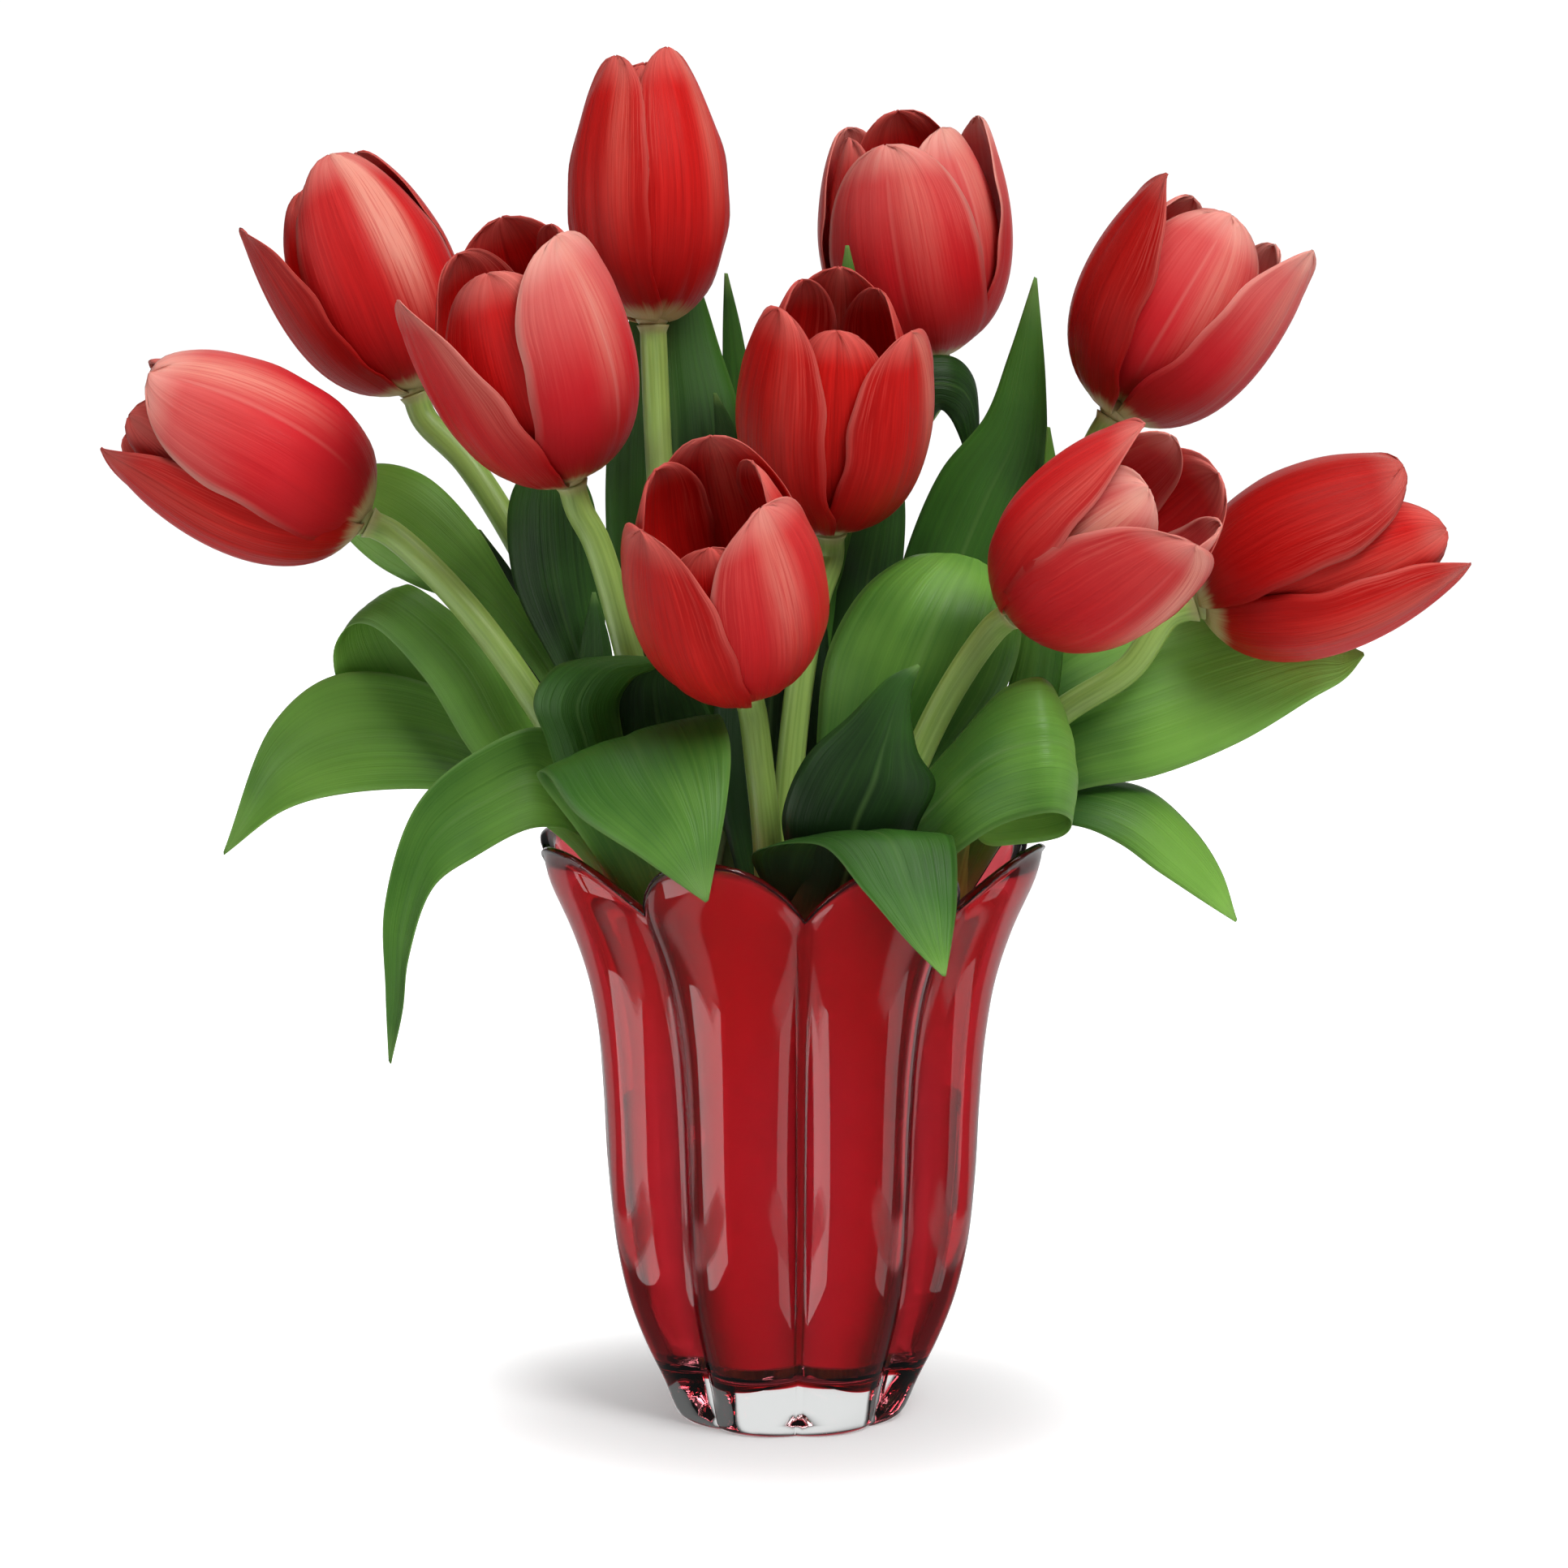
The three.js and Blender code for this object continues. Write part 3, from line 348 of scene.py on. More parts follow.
# For each bloom: where its stem ends, the way it points, and its petals, three outer and three inner.
# For each petal: its turn from the front, length, half width, belly radius, the tip's distance from the axis,
# and the tip's shape, from 0.48 for round to 1 for pointed.
BLOOMS = {
    "a": (
        (-40, 25, 318),
        (-2.5, 2, 78),
        ((-42, 77, 18, 24, 12, 0.48), (41, 79, 18, 24, 11, 0.48), (180, 77, 23, 24, 10, 0.48)),
        ((-108, 75, 21, 21.8, 10, 0.48), (108, 76, 21, 21.8, 10, 0.48), (0, 74, 17, 21.4, 8, 0.48)),
    ),
    "b": (
        (44, 60, 309),
        (-12, -14, 66),
        ((-15, 68, 27, 27.5, 18, 0.48), (104, 68, 24, 27, 26, 0.48), (-128, 71, 25, 28.4, 18, 0.48)),
        ((48, 69, 24, 25, 17, 0.48), (172, 73, 25, 25.4, 14, 0.48), (-72, 70, 23, 25.8, 15, 0.48)),
    ),
    "c": (
        (94, 15, 291),
        (34, -7, 59),
        ((-70, 68, 25, 27.6, 24, 0.85), (64, 70, 26, 27.6, 27, 0.75), (176, 67, 25, 27, 18, 0.48)),
        ((-4, 67, 24, 25.2, 17, 0.48), (112, 66, 22, 25, 17, 0.48), (-128, 66, 22, 25, 15, 0.48)),
    ),
    "d": (
        (-111, 36, 298),
        (-24, -3, 62),
        ((18, 73, 27, 26.6, 12, 0.48), (-76, 63, 24, 25.5, 30, 0.6), (138, 72, 25, 26.6, 14, 0.48)),
        ((78, 70, 22, 24.2, 10, 0.48), (-32, 66, 21, 24, 15, 0.48), (-150, 68, 22, 24.2, 13, 0.48)),
    ),
    "e": (
        (-61, -34.5, 273),
        (-17, -19.8, 59),
        ((50, 72, 27, 27, 22, 0.48), (-64, 67, 25, 26, 32, 0.9), (172, 73, 26, 27, 18, 0.48)),
        ((-12, 68, 24, 25, 17, 0.48), (112, 70, 23, 24.8, 17, 0.48), (-136, 68, 24, 25, 17, 0.48)),
    ),
    "f": (
        (-121, -6, 261),
        (-64, -9, 33),
        ((36, 73, 28, 28.4, 19, 0.48), (-66, 76, 26, 26.4, 16, 0.9), (160, 70, 25, 27.5, 19, 0.48)),
        ((-16, 73, 22, 25, 10, 0.48), (104, 75, 22, 25.4, 13, 0.48), (-128, 72, 22, 25, 13, 0.48)),
    ),
    "g": (
        (12, 5, 258),
        (2, -22, 64),
        ((-58, 70, 26, 27.6, 20, 0.48), (58, 65, 25, 25.6, 24, 0.48), (180, 75, 24, 26.6, 14, 0.48)),
        ((-2, 66, 20, 24.4, 17, 0.48), (122, 71, 23, 23.6, 13, 0.48), (-122, 73, 24, 24.4, 13, 0.48)),
    ),
    "h": (
        (-11.5, -62, 217),
        (-10.5, -34, 56),
        ((42, 66, 26, 25.6, 20, 0.48), (-58, 64, 26, 25.6, 22, 0.48), (168, 71, 25, 26, 17, 0.48)),
        ((-6, 58, 20, 23.6, 17, 0.48), (104, 68, 23, 23.6, 14, 0.48), (-122, 69, 24, 24.4, 15, 0.48)),
    ),
    "i": (
        (62, -45, 237),
        (42.8, -30, 36.9),
        ((-74, 69, 26, 25.6, 19, 0.8), (40, 63, 28, 25.2, 22, 0.48), (160, 66, 24, 25, 19, 0.48)),
        ((-20, 62, 22, 23, 15, 0.48), (98, 63, 23, 23, 17, 0.48), (-138, 65, 22, 23, 16, 0.48)),
    ),
    "j": (
        (117, -5, 237),
        (66, -3, 23.4),
        ((-56, 67, 28, 27.2, 23, 0.48), (70, 77, 26, 26.5, 15, 0.8), (-178, 68, 25, 27, 17, 0.48)),
        ((12, 73, 23, 25, 11, 0.48), (132, 69, 23, 25, 13, 0.48), (-114, 67, 23, 25, 14, 0.48)),
    ),
}


def curve_at(points, shares):
    """Points at shares of a centripetal curve through the given points, as the frame's source draws it."""
    p = np.asarray(points, float)
    p = np.concatenate([[2 * p[0] - p[1]], p, [2 * p[-1] - p[-2]]])
    place = np.asarray(shares, float) * (len(p) - 3)
    n = np.minimum(place.astype(int), len(p) - 4)
    t = (place - n)[:, None]
    gaps = np.sum(np.diff(p, axis=0) ** 2, axis=1) ** 0.25
    before, here, after = (gaps[n + k][:, None] for k in range(3))
    a, b, c, d = (p[n + k] for k in range(4))
    leave = ((b - a) / before - (c - a) / (before + here) + (c - b) / here) * here
    arrive = ((c - b) / here - (d - b) / (here + after) + (d - c) / after) * here
    return b + leave * t + (3 * (c - b) - 2 * leave - arrive) * t**2 + (2 * (b - c) + leave + arrive) * t**3


def unit(vectors):
    return vectors / np.maximum(np.linalg.norm(vectors, axis=-1, keepdims=True), 1e-9)


def stem_points(key):
    """The points that a stem's curve passes through, from its foot to its bloom."""
    foot, path = STEMS[key]
    base, axis = np.array(BLOOMS[key][0], float), unit(np.array(BLOOMS[key][1], float))
    rim = np.array(path[0], float)
    lean = math.atan2(math.hypot(rim[0] - foot[0], rim[1] - foot[1]), rim[2] - VASE_FLOOR)
    start = np.array([foot[0], foot[1], VASE_FLOOR + SEAT_GAP + STEM_RADIUS_FOOT * math.sin(lean)])
    straight = [start + (rim - start) * share for share in (0, 0.33, 0.66)]
    end = base - axis * SEAT_GAP
    return straight + [np.array(p, float) for p in path] + [end - axis * NECK_LENGTH, end]


def round_body(line, radii, sides, side):
    """Points and faces of a closed round body along a line, with a radius or a ring of them at each point."""
    line = np.asarray(line, float)
    angle = 2 * math.pi * np.arange(sides) / sides
    rings = []
    for middle, way, radius in zip(line, unit(np.gradient(line, axis=0)), radii):
        side = unit(side - way * (side @ way))
        across = np.outer(radius * np.cos(angle), side)
        rings.append(middle + across + np.outer(radius * np.sin(angle), np.cross(way, side)))
    return skin(rings, line[0], line[-1])


def at(x, y, z):
    return node_fed("CombineXYZ", {0: x, 1: y, 2: z}).outputs[0]


stalk_green = Finish("stem_green")
along = stalk_green.carried("along")
around = stalk_green.carried("around")
strand_place = at(times(around, 14), times(along, 5), stalk_green.carried("lot"))
strand = cloud(strand_place, 1, 3)
patch = cloud(stalk_green.place(), 45, 2)
green = blend(fade(strand, 0.3, 0.7), (0.25, 0.41, 0.08), (0.35, 0.53, 0.12))
green = blend(fade(patch, 0.5, 0.8, 0, 0.5), green, (0.19, 0.22, 0.07))
green = blend(fade(along, 0.93, 1, 0, 0.75), green, (0.52, 0.50, 0.23))
stalk_green.coat(
    Base_Color=green,
    Roughness=fade(patch, 0.3, 0.7, 0.36, 0.5),
    Subsurface_Weight=0.15,
    Subsurface_Radius=(1, 0.9, 0.3),
    Subsurface_Scale=0.0012,
)
stalk_green.relief(strand, 0.0003, 0.35)

shares = np.linspace(0, 1, STALK_STEPS + 1)
angle = 2 * math.pi * np.arange(STALK_SIDES) / STALK_SIDES
for number, key in enumerate(STEMS):
    swell = NECK_SWELL * np.maximum(0, shares - 0.96) / 0.04
    radius = STEM_RADIUS_FOOT + (STEM_RADIUS_TOP - STEM_RADIUS_FOOT) * shares + swell
    radii = radius[:, None] + 0.10 * np.sin(3 * angle + 9 * shares[:, None] + number)
    points, faces = round_body(curve_at(stem_points(key), shares), radii, STALK_SIDES, np.array([1.0, 0, 0]))
    values = {
        "along": np.append(np.repeat(shares, STALK_SIDES), [0, 1]),
        "around": np.append(np.tile(np.abs(np.linspace(-1, 1, STALK_SIDES)), STALK_STEPS + 1), [0, 0]),
        "lot": np.full(len(points), number * 3.7),
    }
    add_to_arrangement("stalk_" + key, points, faces, values, stalk_green, "leaf", "stem_" + key)

# Leaves: long waxy blades with parallel veins, which grow from the stems inside the vase and arch out of it.
# They are fleshy near the root, thin and slightly waved at the edges, and some fold over the rim.
LEAF_THICKNESS = 0.9
LEAF_ROOT_WIDTH = 7
LEAF_TIP_WIDTH = 1
LEAF_WAVE = 0.018  # depth of the edges' waves as a share of the width, up to a width of 34
LEAF_CREASE = 0.5
LEAF_ROWS = 72
LEAF_COLUMNS = 16
LEAF_ALONG = np.linspace(0, 1, LEAF_ROWS + 1)
LEAF_ACROSS = np.linspace(-1, 1, LEAF_COLUMNS + 1)
# For each leaf: its stem, the height of its root, its hollow as a share of its width, its tip, its tone at
# mid-length, which is its own green with painted shade on dark leaves and painted light on bright ones, how
# much painted light it gains from root to tip, and points on its two edges.
LEAVES = [
    # tall broad leaf behind the top bloom's stem
    ("a", 125, 0.12, (-32, 52, 342), (0.28, 0.2), [
        ((-38, 34, 183), (-14, 34, 183)), ((-51, 42, 222), (-10, 42, 222)),
        ((-55, 47, 260), (-12, 47, 260)), ((-54, 50, 289), (-14, 50, 289)),
        ((-50, 51, 314), (-21, 52, 312)), ((-42, 52, 331), (-26, 52, 328)),
    ]),
    # narrow upright leaf beside it
    ("a", 150, 0.15, (-19, 58, 334), (0.25, 0), [
        ((-23, 50, 201), (-12, 52, 201)), ((-21, 56, 245), (-9, 56, 245)), ((-20, 58, 289), (-10, 58, 289)),
        ((-20, 58, 316), (-14, 58, 315)),
    ]),
    # short narrow leaf in front of the tall one
    ("a", 170, 0.15, (-22, 34, 298), (0.3, 0), [
        ((-30, 30, 222), (-17, 30, 222)), ((-24, 33, 258), (-11, 33, 258)),
        ((-22, 34, 285), (-15, 34, 285)),
    ]),
    # broad dark leaf behind the centre bloom
    ("b", 125, 0.12, (28, 29, 292), (0.22, 0), [
        ((-2, 22, 175), (19, 22, 175)), ((7, 25, 211), (29, 25, 211)), ((13, 27, 242), (33, 26, 242)),
        ((21, 28, 268), (34, 27, 268)),
    ]),
    # narrow leaf with its tip above the centre bloom
    ("b", 150, 0.12, (17, 28, 341), (0.6, 0), [
        ((7, 24, 223), (19, 30, 222)), ((9, 27, 266), (21, 28, 266)), ((12, 28, 301), (22, 28, 301)),
        ((14, 28, 325), (21, 28, 325)),
    ]),
    # short leaf arching out under the top right bloom
    ("b", 215, 0.15, (55, 50, 272), (0.16, 0), [
        ((25, 44, 265), (33, 44, 264)), ((29, 44, 289), (41, 44, 285)), ((37, 42, 307), (45, 43, 293)),
        ((48, 44, 309), (48, 44, 291)), ((55, 50, 303), (51, 48, 285)), ((57, 51, 293), (53, 49, 279)),
    ]),
    # tall pointed leaf between the right blooms
    ("c", 125, 0.12, (73, 38, 332), (0.34, 0.2), [
        ((24, 26, 180), (44, 21, 180)), ((27, 31, 218), (58, 25, 215)), ((34, 34, 249), (65, 29, 239)),
        ((45, 35, 275), (72, 31, 258)), ((58, 35, 291), (76, 33, 279)), ((65, 37, 309), (76, 35, 301)),
    ]),
    # small bright tip beside it
    ("c", 215, 0.15, (76, 22, 288), (0.9, 0), [
        ((71, 22, 244), (78, 22, 247)), ((74, 22, 268), (80, 22, 266)),
    ]),
    # leaf drooping to the right
    ("c", 112, 0.14, (130, 0, 145), (0.55, 1.6), [
        ((50, 18, 160), (55, 8, 155)), ((68, 16, 180), (67, 1, 172)), ((87, 13, 185), (83, -4, 173)),
        ((104, 11, 183), (96, -5, 168)), ((118, 8, 171), (107, -5, 160)), ((126, 4, 159), (120, -3, 151)),
    ]),
    # upright leaf behind the left centre stem
    ("d", 120, 0.14, (-66, 3, 283), (0.24, 0), [
        ((-53, 12, 178), (-43, 10, 178)), ((-57, 8, 198), (-46, 6, 198)), ((-68, 3, 219), (-52, 3, 216)),
        ((-80, 6, 244), (-54, 3, 243)), ((-80, 6, 270), (-57, 3, 268)),
    ]),
    # dark leaf behind the far left stem
    ("d", 135, 0.12, (-91, 22, 258), (0.2, 0), [
        ((-74, 22, 199), (-64, 20, 199)), ((-80, 24, 220), (-69, 20, 218)),
        ((-88, 25, 243), (-79, 20, 242)),
    ]),
    # low leaf reaching out to the left
    ("d", 115, 0.14, (-164, -2, 165), (0.72, 0.2), [
        ((-64, 18, 179), (-61, 8, 169)), ((-81, 20, 198), (-81, 6, 179)), ((-110, 22, 214), (-104, 6, 183)),
        ((-134, 20, 215), (-129, 4, 182)), ((-151, 14, 202), (-147, 1, 177)),
    ]),
    # short leaf bent over at the left front
    ("e", 135, 0.18, (-34, -42, 224), (0.5, 0), [
        ((-62, -36, 184), (-42, -34, 186)), ((-68, -42, 202), (-47, -40, 205)),
        ((-71, -45, 213), (-47, -43, 213)), ((-65, -46, 222), (-43, -44, 219)),
        ((-48, -44, 225), (-38, -43, 221)),
    ]),
    # broad leaf folded over the front left of the rim
    ("e", 105, -0.05, (-22, -96, 163), (0.55, 0.2), [
        ((-41, -34, 146), (-24, -37, 148)), ((-57, -42, 173), (-23, -47, 178)),
        ((-69, -62, 193), (-21, -57, 208)), ((-66, -69, 194), (-19, -65, 210)),
        ((-58, -79, 185), (-16, -76, 203)), ((-40, -89, 174), (-17, -87, 188)),
    ]),
    # small pointed leaf beside the left centre stem
    ("e", 165, 0.15, (-56, -8, 241), (0.3, 0), [
        ((-62, -10, 206), (-49, -12, 206)), ((-60, -8, 225), (-51, -9, 225)),
    ]),
    # leaf that loops over itself at the left
    ("f", 118, 0.1, (-100, 27, 185), (0.76, 0), [
        ((-58, -1, 160), (-50, -1, 163)), ((-77, 1, 178), (-62, 3, 184)), ((-92, 0, 194), (-75, 3, 203)),
        ((-105, 0, 215), (-86, 3, 224)), ((-120, 4, 230), (-107, 7, 241)),
        ((-128, 11, 230), (-112, 14, 242)), ((-134, 19, 222), (-112, 21, 238)),
        ((-132, 25, 209), (-106, 26, 226)), ((-119, 27, 194), (-92, 27, 204)),
    ]),
    # broad leaf behind the far left stem
    ("f", 135, 0.12, (-139, 37, 270), (0.9, 0.4), [
        ((-64, 3, 195), (-60, 4, 198)), ((-72, 10, 213), (-66, 12, 217)), ((-91, 14, 234), (-81, 16, 241)),
        ((-110, 17, 242), (-92, 20, 259)), ((-122, 24, 248), (-108, 27, 274)),
        ((-133, 31, 258), (-124, 34, 277)),
    ]),
    # long leaf drooping over the left of the vase
    ("f", 112, 0.2, (-112, -45, 111), (0.62, 0), [
        ((-55, -20, 183), (-55, -28, 169)), ((-69, -32, 204), (-70, -42, 177)),
        ((-89, -38, 197), (-88, -46, 169)), ((-104, -42, 183), (-99, -48, 161)),
        ((-113, -45, 155), (-106, -49, 141)), ((-113, -45, 131), (-108, -48, 126)),
    ]),
    # big leaf with a rounded top right of the centre
    ("g", 125, 0.12, (58, 18, 240), (0.62, 0.2), [
        ((8, -14, 176), (31, -18, 170)), ((8, -12, 200), (48, -18, 195)), ((11, -12, 224), (62, -18, 215)),
        ((21, -10, 242), (66, -16, 229)), ((32, -4, 250), (65, -10, 237)), ((42, 6, 251), (61, 0, 245)),
        ((50, 14, 247), (60, 10, 244)),
    ]),
    # dark leaf behind the lower bloom's stem
    ("g", 120, 0.1, (-4, 12, 262), (0.05, 0), [
        ((-20, 8, 178), (8, 8, 178)), ((-22, 12, 205), (11, 12, 205)), ((-17, 13, 235), (10, 13, 235)),
    ]),
    # dark leaf between the left and centre stems
    ("e", 120, 0.05, (-35, -37, 224), (0.15, 0), [
        ((-48, -34, 183), (-20, -33, 182)), ((-53, -36, 204), (-20, -33, 202)),
        ((-50, -37, 218), (-26, -35, 215)),
    ]),
    # dark leaf with a curled tip at the front
    ("h", 118, 0.16, (35, -68, 224), (0.08, 0.4), [
        ((-1, -54, 169), (32, -50, 169)), ((-2, -60, 183), (36, -54, 180)), ((4, -66, 198), (40, -57, 191)),
        ((16, -69, 210), (35, -62, 200)), ((27, -70, 221), (33, -66, 215)),
    ]),
    # leaf hanging over the front of the rim
    ("h", 112, -0.06, (41, -96, 143), (0.25, 1.4), [
        ((1, -45, 147), (20, -42, 147)), ((-8, -58, 164), (26, -54, 163)),
        ((-10, -64, 172), (43, -62, 176)), ((8, -73, 176), (45, -71, 175)),
        ((20, -84, 164), (45, -82, 161)), ((32, -92, 151), (43, -91, 150)),
    ]),
    # ribbon leaf that loops round at the right front
    ("i", 115, 0.1, (48, -29, 189), (0.8, 1.2), [
        ((32, -38, 181), (35, -42, 161)), ((47, -46, 203), (43, -52, 168)),
        ((59, -55, 217), (58, -64, 180)), ((68, -58, 220), (71, -69, 184)),
        ((73, -50, 215), (77, -60, 181)), ((72, -41, 211), (75, -48, 175)),
        ((65, -35, 208), (64, -40, 172)), ((55, -31, 203), (54, -35, 172)),
    ]),
    # big leaf reaching out to the right
    ("j", 118, 0.14, (168, 12, 222), (0.85, 2), [
        ((48, 12, 176), (49, 2, 166)), ((62, 18, 203), (65, 0, 176)), ((80, 22, 225), (84, 0, 183)),
        ((102, 26, 238), (106, 2, 187)), ((123, 28, 243), (131, 4, 197)), ((147, 28, 235), (151, 4, 209)),
        ((161, 22, 226), (163, 12, 215)),
    ]),
    # upright strip behind the right centre bloom
    ("j", 150, 0.14, (74, -3, 248), (0.6, 0), [
        ((54, -8, 181), (68, -6, 181)), ((61, -8, 206), (76, -4, 204)), ((67, -5, 230), (79, -2, 230)),
    ]),
]


def point_at_height(points, height):
    """The point of a stem's middle line at a height."""
    line = curve_at(points, np.linspace(0, 1, 400))
    return line[np.argmax(line[:, 2] > height)]


def leaf_grid(root, hollow, tip, edges, phase):
    """The middle surface of a leaf between its two edges, with its hollow, waved edges, ribs and crease."""
    edges = np.array(edges, float)
    root_side = unit(edges[0, 1] - edges[0, 0]) * LEAF_ROOT_WIDTH / 2
    tip_side = unit(edges[-1, 1] - edges[-1, 0]) * LEAF_TIP_WIDTH / 2
    left = curve_at([root - root_side, *edges[:, 0], np.array(tip) - tip_side], LEAF_ALONG)
    right = curve_at([root + root_side, *edges[:, 1], np.array(tip) + tip_side], LEAF_ALONG)
    span = right - left
    width = np.linalg.norm(span, axis=1)[:, None]
    away = unit(np.cross(span, unit(np.gradient(left, axis=0)) + unit(np.gradient(right, axis=0))))
    t = LEAF_ACROSS
    v = LEAF_ALONG[:, None]
    wave = LEAF_WAVE * np.minimum(width, 34) * np.abs(t) ** 2.5
    wave = wave * np.sin(2 * math.pi * (2.1 * v + 0.35 * np.sign(t)) + phase[0]) * np.sin(math.pi * v)
    ribs = (0.10 * np.sin(11 * t + phase[1]) + 0.07 * np.sin(19 * t + phase[2])) * np.sin(math.pi * v)
    crease = -LEAF_CREASE * np.exp(-((t / 0.12) ** 2)) * np.sin(math.pi * np.minimum(v * 1.3, 1))
    rise = hollow * width * (1 - t**2) + wave + ribs + np.sign(hollow) * crease
    return left[:, None] + span[:, None] * ((t + 1) / 2)[:, None] + away[:, None] * rise[..., None]


def blade(grid, thickness, along, across):
    """A thin closed blade round a grid of points: its points, its faces and where each point lies on it."""
    rows, columns = grid.shape[:2]
    normal = unit(np.cross(np.gradient(grid, axis=0), np.gradient(grid, axis=1)))
    offset = normal * (thickness / 2)[..., None]
    points = np.concatenate([(grid + offset).reshape(-1, 3), (grid - offset).reshape(-1, 3)])
    cell = np.arange(rows * columns).reshape(rows, columns)
    a, b, c, d = cell[:-1, :-1].ravel(), cell[:-1, 1:].ravel(), cell[1:, 1:].ravel(), cell[1:, :-1].ravel()
    size = rows * columns
    rim = np.concatenate([cell[0, :-1], cell[:-1, -1], cell[-1, :0:-1], cell[:0:-1, 0]])
    after = np.roll(rim, -1)
    sides = np.stack([rim, after, after + size, rim + size], 1)
    faces = np.concatenate([np.stack([a, d, c, b], 1), np.stack([a, b, c, d], 1) + size, sides])
    values = {"across": np.tile(across, 2 * rows), "along": np.tile(np.repeat(along, columns), 2)}
    return points, faces.tolist(), values


def joined(bodies):
    """Several bodies as one: their points, faces and the values that their points carry."""
    points, faces, values = [], [], {key: [] for key in bodies[0][2]}
    start = 0
    for body_points, body_faces, body_values in bodies:
        points.append(body_points)
        faces += [[start + corner for corner in face] for face in body_faces]
        for key, value in body_values.items():
            values[key].append(np.broadcast_to(value, len(body_points)))
        start += len(body_points)
    return np.concatenate(points), faces, {key: np.concatenate(parts) for key, parts in values.items()}


def scaled(value, factor, offset):
    return work_out("MULTIPLY_ADD", value, factor, offset)


def unsigned(value):
    return work_out("ABSOLUTE", value)


def lengthwise_cloud(finish, per_width, per_length, detail, roughness=0.5):
    """Mottling drawn out along a blade, different on each blade."""
    lot = finish.carried("lot")
    across = scaled(finish.carried("across"), per_width, lot)
    along = times(finish.carried("along"), per_length)
    return cloud(at(across, along, lot), 1, detail, roughness)


leaf_green = Finish("leaf_green")
along = leaf_green.carried("along")
tone = leaf_green.carried("tone")
from_middle = unsigned(leaf_green.carried("across"))
vein = lengthwise_cloud(leaf_green, 15, 1.1, 3)
fine_vein = lengthwise_cloud(leaf_green, 52, 2, 2)
shade = scaled(minus(vein, 0.5), 0.22, tone)
shade = scaled(minus(cloud(leaf_green.place(), 22, 2), 0.5), 0.9, shade)
shade = scaled(minus(fine_vein, 0.5), 0.12, shade)
# The green follows the tone. Near 0 it is a near-black green, painted shade for leaves in shadow. From about
# 1 it is a glowing yellow-green, painted light shining through the leaf.
green = blend(fade(shade, 0, 0.5), (0.012, 0.036, 0.009), (0.045, 0.150, 0.018))
green = blend(fade(shade, 0.4, 1), green, (0.20, 0.44, 0.065))
green = blend(fade(shade, 0.9, 1.5), green, (0.36, 0.72, 0.13))
middle_line = times(fade(from_middle, 0, 0.07, 1, 0), fade(along, 0.2, 0.9, 0.3, 0))
green = blend(middle_line, green, (0.20, 0.36, 0.10))
edge_line = times(fade(from_middle, 0.93, 1), fade(tone, 0, 0.9, 0, 0.3))
green = blend(edge_line, green, (0.30, 0.48, 0.15))
green = blend(fade(along, 0.9, 1, 0, 0.45), green, (0.24, 0.42, 0.11))
green = blend(fade(along, 0, 0.16, 0.8, 0), green, (0.30, 0.42, 0.16))
leaf_green.coat(
    Base_Color=green,
    Roughness=fade(fine_vein, 0.3, 0.7, 0.34, 0.48),
    Specular_IOR_Level=0.22,
    Subsurface_Weight=0.12,
    Subsurface_Radius=(0.6, 1, 0.2),
    Subsurface_Scale=0.0012,
)
leaf_green.relief(scaled(fine_vein, 0.4, vein), 0.0005, 0.55)

draw = np.random.default_rng(7)
leaf_thickness = LEAF_THICKNESS * (0.35 + 0.65 * (1 - LEAF_ACROSS**4)) * (1.15 - 0.5 * LEAF_ALONG[:, None])
for key in STEMS:
    stem_leaves = []
    for number, (stem, root_height, hollow, tip, (mid_tone_and_light, painted_light_to_tip), edges) in enumerate(LEAVES):
        if stem != key:
            continue
        root = point_at_height(stem_points(key), root_height)
        grid = leaf_grid(root, hollow, tip, edges, draw.uniform(0, 6.28, 4))
        points, faces, values = blade(grid, leaf_thickness, LEAF_ALONG, LEAF_ACROSS)
        # The tone is the leaf's own green with painted shade on dark leaves and painted light on bright ones,
        # and it rises towards the tip as painted light.
        values["tone"] = mid_tone_and_light + painted_light_to_tip * (values["along"] - 0.5)
        values["lot"] = number * 5.3
        stem_leaves.append((points, faces, values))
    add_to_arrangement("leaves_" + key, *joined(stem_leaves), leaf_green, "leaf", "stem_" + key)

# Petals: satin, six to a bloom in two layers of three, cupped round each other and grown from a pale base.
# Each has a fold down its middle, fine lengthwise streaks, a paler rim and tip, and cream where it is rooted.
PETAL_THICKNESS = 0.8
PETAL_LEAST_CURVE = 13  # smallest radius of a petal's hollow towards its tip
PETAL_WIDEST = 0.5  # share of its length where a petal is widest
PETAL_TIP_WIDTH = 9
PETAL_REACH = 1.1  # most that half its width may be, as a share of its distance from the axis
PETAL_TUCK = 0.9  # how far one edge lies inside the next petal and the other outside, at the root
OUTER_PETAL = (4.6, 1.5, 0)  # radius and height of the root, and lift of the belly
INNER_PETAL = (3.6, 5.4, 3)
FOLD_DEPTH = 0.55
EDGE_WAVE = 0.85
FINE_EDGE_WAVE = 0.45
TIP_CRUMPLE = 0.6
NOTCH_DEPTH = 2.2
PETAL_ROWS = 34
PETAL_COLUMNS = 22
PETAL_ALONG = 1 - (1 - np.linspace(0, 1, PETAL_ROWS + 1)) ** 1.4
PETAL_ACROSS = np.linspace(-1, 1, PETAL_COLUMNS + 1)
UP = np.array([0, 0, 1])
